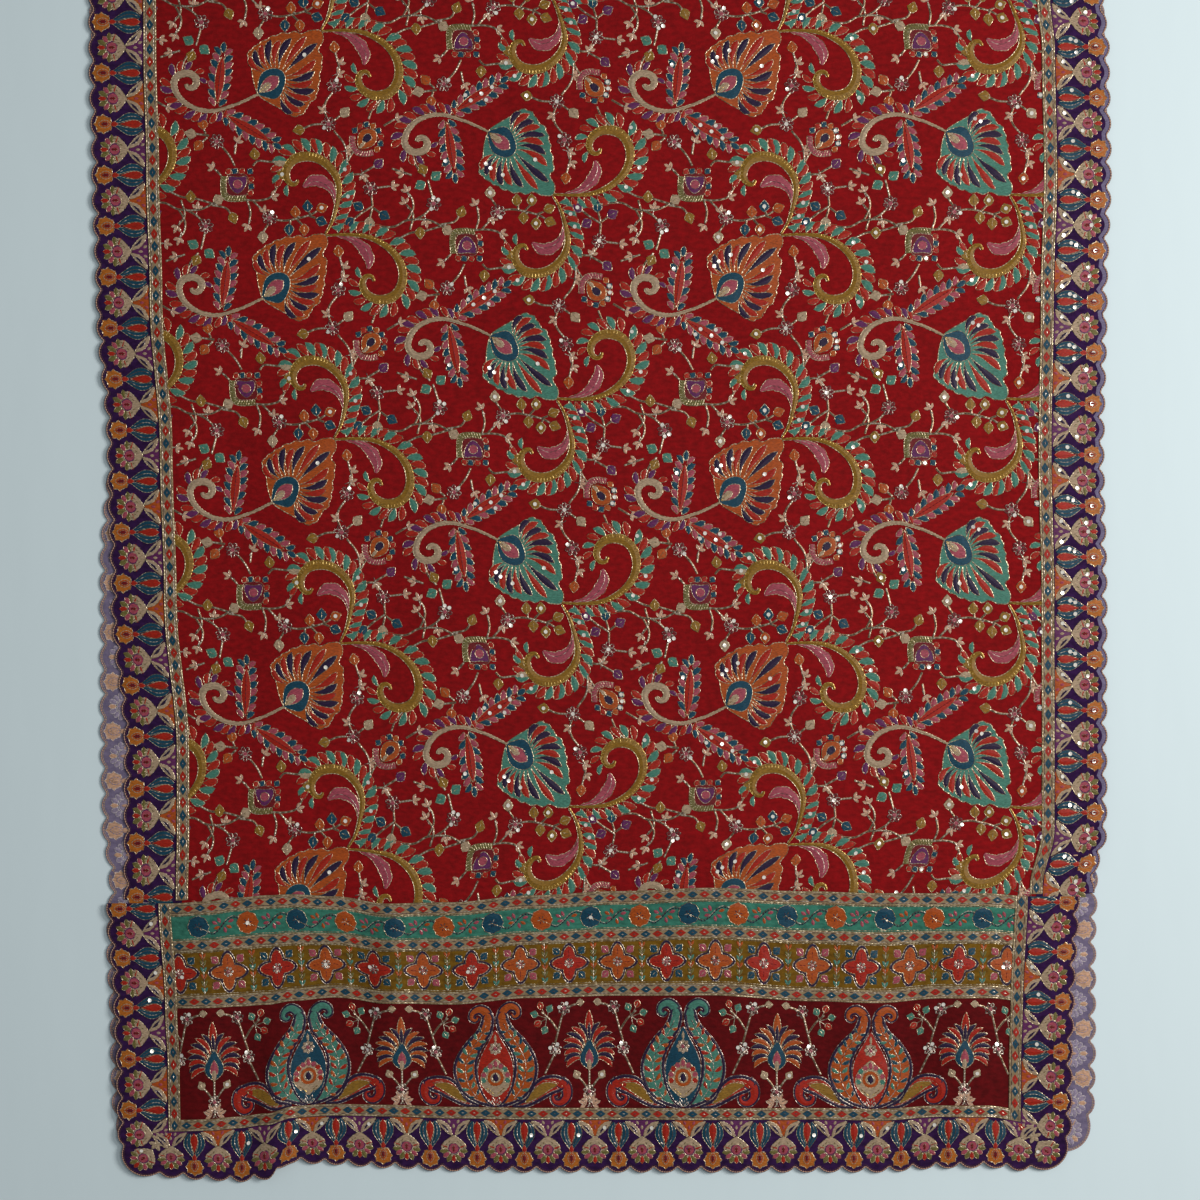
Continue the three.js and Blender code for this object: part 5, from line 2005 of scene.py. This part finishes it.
    def end_border(self, name: str, lay: Lay, wrong: bool) -> None:
        """The border round the pallu and its embroidery.

        Args:
            name: its node.
            lay: how its cloth lies.
            wrong: whether its wrong side shows.
        """
        edge, seam = end_edge(PALLU_LENGTH, 7)
        art = Stitchery()
        for side in (-1, 1):
            strip = Stitchery()
            for k in range(10):
                self.place(strip, self.motif(k + 2), side, CORNER_EDGE_S + (k + 0.5) * SCALLOP, wrong)
            span = sorted((side * (SEAM_U + 5.5), side * HALF_WIDTH))
            art.repeat(strip.clipped((span[0], 25.0), (span[1], PALLU_LENGTH)), np.eye(3)[:2])
            self.corner(art, side, wrong)
        pitch = 2 * CORNER_EDGE_U / HEM_SCALLOPS
        hem = Stitchery()
        for k in range(HEM_SCALLOPS):
            u = -CORNER_EDGE_U + (k + 0.5) * pitch
            if not wrong or k < 2 or k > HEM_SCALLOPS - 3:
                hem.repeat(self.motif(k + 2), np.array([(1, 0, u), (0, 0.985, 0.8)]),
                           WRONG_SIDE if wrong else None)
        art.repeat(hem.clipped((-CORNER_EDGE_U - 3, 0.5), (CORNER_EDGE_U + 3, END_SEAM - 5.7)), np.eye(3)[:2])
        self.edge_lines(art, edge, -1, wrong)
        self.room.sewn_sheet(name, lay, edge_grid(seam, edge, 8), art, PALLU_BORDER_FLAT, *self.cloth(wrong))

    def corner(self, art: Stitchery, side: int, wrong: bool) -> None:
        """The corner lobe's palmette, a star leaf and a small bud inward of it.

        Args:
            art: the border's drawing.
            side: -1 on the left and 1 on the right.
            wrong: whether the wrong side shows.
        """
        flower = Stitchery()
        flower.repeat(BorderMotifs().palmette(None), np.array([(1, 0, 0), (0, 1, -20.8)], float))
        turn = math.radians(42 * side)
        spin = np.array([(math.cos(turn), -math.sin(turn), side * 451.5),
                         (math.sin(turn), math.cos(turn), 20.6)])
        art.repeat(flower, spin, WRONG_SIDE if wrong else None)
        star = Stitchery()
        for angle, length in ((100, 9), (172, 9), (20, 8), (250, 8), (315, 7)):
            star.leaf((0, 0), heading(angle) * length, 4.4, CREAM, 0, 0.4, 0.9)
        star.bud(-12, 9, 135, 8.5, FLAME)
        art.repeat(star, np.array([(side, 0, side * 437.5), (0, 1, 37.0)], float),
                   WRONG_SIDE if wrong else None)


@dataclass
class Pallu:
    """The end panel's three bands."""

    room: Workroom
    cell: float = 4.5

    def build(self) -> None:
        """Make the bands with their embroidery, and the lower half's plain ground."""
        finishes = self.room.finishes
        lay = PalluLay()
        bands = [
            ("pallu_panel", END_SEAM + SEAM_GAP, LOWER_SEAM, finishes.garnet, "crimson_crepe", PaisleyPanel(),
             (62.4, 166.1)),
            ("pallu_mustard", LOWER_SEAM + SEAM_GAP, UPPER_SEAM, finishes.mustard, "mustard_crepe",
             MustardBand(), (178.2, 219.6)),
            ("pallu_green", UPPER_SEAM + SEAM_GAP, PALLU_LENGTH, finishes.sea_green, "sea_green_crepe",
             GreenBand(), (230.4, 254.7)),
        ]
        for name, low, high, finish, slot, drawing, shown in bands:
            grid = flat_grid(steps_between(-SEAM_U, SEAM_U, self.cell), steps_between(low, high, self.cell))
            art = drawing.draw().clipped((-BAND_HALF_U, shown[0]), (BAND_HALF_U, shown[1]))
            self.room.sewn_sheet(name, lay, grid, art, (2 * SEAM_U, high - low), finish, slot)
        s = steps_between(END_SEAM + SEAM_GAP, PALLU_LENGTH, BACK_CELL)
        grid = flat_grid(steps_between(-SEAM_U, SEAM_U, BACK_CELL), s)
        back = self.room.sheet_mesh("crepe_pallu_back", BackLay(), grid, finishes.crimson, 1.1)
        self.room.declare(back, "pallu_back", (2 * SEAM_U, PALLU_LENGTH - END_SEAM), [])


@dataclass
class Braids:
    """Every braid, sewn over a seam."""

    room: Workroom

    def build(self) -> None:
        """Make the side braids and the cross braids."""
        for side, word in ((-1, "left"), (1, "right")):
            for name, lay, low, high in (
                (f"braid_{word}_front", FieldLay(), FIELD_BRAID_START, BRAID_END),
                (f"braid_pallu_{word}", PalluLay(), END_SEAM - 5.5, PALLU_LENGTH),
            ):
                self.braid(name, lay, (side * SEAM_U, low), (side * SEAM_U, high), BRAID_WIDTH)
        inner = SEAM_U - BRAID_WIDTH / 2 - SEAM_GAP
        for name, s, width in (
            ("braid_end", END_SEAM, END_BRAID_WIDTH), ("braid_lower", LOWER_SEAM, BRAID_WIDTH),
            ("braid_upper", UPPER_SEAM, END_BRAID_WIDTH), ("braid_top", TOP_BRAID, BRAID_WIDTH),
        ):
            self.braid(name, PalluLay(), (-inner, s), (inner, s), width)

    def braid(self, name: str, lay: Lay, start: tuple[float, float], end: tuple[float, float],
              width: float) -> None:
        """One straight braid.

        Args:
            name: its node.
            lay: how its cloth lies.
            start: flat point of its start.
            end: flat point of its end.
            width: in millimetres.
        """
        begin, finish = np.array(start), np.array(end)
        length = float(np.linalg.norm(finish - begin))
        way = (finish - begin) / length
        left = np.array([-way[1], way[0]])
        along = steps_between(0, length, 4.0)
        across = np.linspace(-width / 2, width / 2, 4)
        grid = begin + along[:, None, None] * way + across[None, :, None] * left
        cloth = self.room.sheet_mesh(f"woven_{name}", lay, grid, self.room.finishes.braid, 0.6,
                                     CLOTH / 2 + 0.5)
        art = Stitchery()
        art.repeat(Braid(width=width).draw(length), np.column_stack([way, left, begin]))
        sewn = self.room.stitch_mesh(f"stitches_{name}", lay, art, CLOTH / 2 + 0.8)
        self.room.declare(cloth, name, (width, length), [sewn], "braid")


# ---- the studio ----
@dataclass
class Studio:
    """A white sheet seen from straight above, lit from the right."""

    height: float = 2.6
    view_mm: float = 1116.0
    look_y: float = -0.0796

    def build(self) -> None:
        """Make the floor, the lights and the camera."""
        clean_select()
        bpy.ops.mesh.primitive_plane_add(size=8, location=(0, 0, -0.0008))
        floor = bpy.context.object
        floor.name = "table_top"
        made = bpy.data.materials.new("white sheet")
        made.use_nodes = True
        shader = made.node_tree.nodes["Principled BSDF"]
        shader.inputs["Base Color"].default_value = linear("#DCEAEC")
        shader.inputs["Roughness"].default_value = 0.8
        shader.inputs["Specular IOR Level"].default_value = 0.2
        place = node(made.node_tree, "ShaderNodeTexCoord").outputs["Object"]
        long = node(made.node_tree, "ShaderNodeMapping", Vector=place, Scale=(1.0, 0.35, 1.0))
        waves = node(made.node_tree, "ShaderNodeTexNoise", Vector=long.outputs[0], Scale=9.0, Detail=3.0)
        bump = node(made.node_tree, "ShaderNodeBump", Strength=0.35, Distance=0.004, Height=waves.outputs[0])
        made.node_tree.links.new(bump.outputs[0], shader.inputs["Normal"])
        floor.data.materials.append(made)
        self.light("key", (2.1, 0.4, 1.9), 1.0, 53, (1.0, 0.99, 0.98))
        self.light("overhead", (0.9, 0.3, 2.8), 0.7, 14, (1.0, 1.0, 1.0))
        world = bpy.data.worlds.new("studio")
        bpy.context.scene.world = world
        world.use_nodes = True
        world.node_tree.nodes["Background"].inputs["Color"].default_value = (0.85, 0.92, 0.98, 1.0)
        world.node_tree.nodes["Background"].inputs["Strength"].default_value = 0.225
        data = bpy.data.cameras.new("camera")
        data.sensor_width = 36
        data.lens = 36 * self.height * 1000 / self.view_mm
        camera = bpy.data.objects.new("camera", data)
        camera.location = (0, self.look_y, self.height)
        bpy.context.collection.objects.link(camera)
        bpy.context.scene.camera = camera
        bpy.context.scene.view_settings.view_transform = "Standard"

    @staticmethod
    def light(name: str, place: tuple[float, float, float], size: float, power: float,
              colour: tuple[float, float, float]) -> None:
        """A square soft light that faces the cloth.

        Args:
            name: its name.
            place: where it stands, in metres.
            size: its side.
            power: in watts.
            colour: its linear colour.
        """
        data = bpy.data.lights.new(name, "AREA")
        data.size, data.energy, data.color = size, power, colour
        lamp = bpy.data.objects.new(name, data)
        lamp.location = place
        lamp.rotation_euler = (Vector((0, 0, 0)) - Vector(place)).to_track_quat("-Z", "Y").to_euler()
        bpy.context.collection.objects.link(lamp)


def main() -> None:
    """Build the dupatta and its studio."""
    logging.basicConfig(level=logging.INFO, format="%(name)s: %(message)s")
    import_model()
    Studio().build()
    room = Workroom(Finishes())
    makers: list[tuple[str, Callable[[], None]]] = [
        ("field", Field(room).build), ("borders", Borders(room).build), ("pallu", Pallu(room).build),
        ("braids", Braids(room).build),
    ]
    for name, build in makers:
        build()
        LOG.info("%s done", name)
    clean_select()


if __name__ == "__main__":
    main()
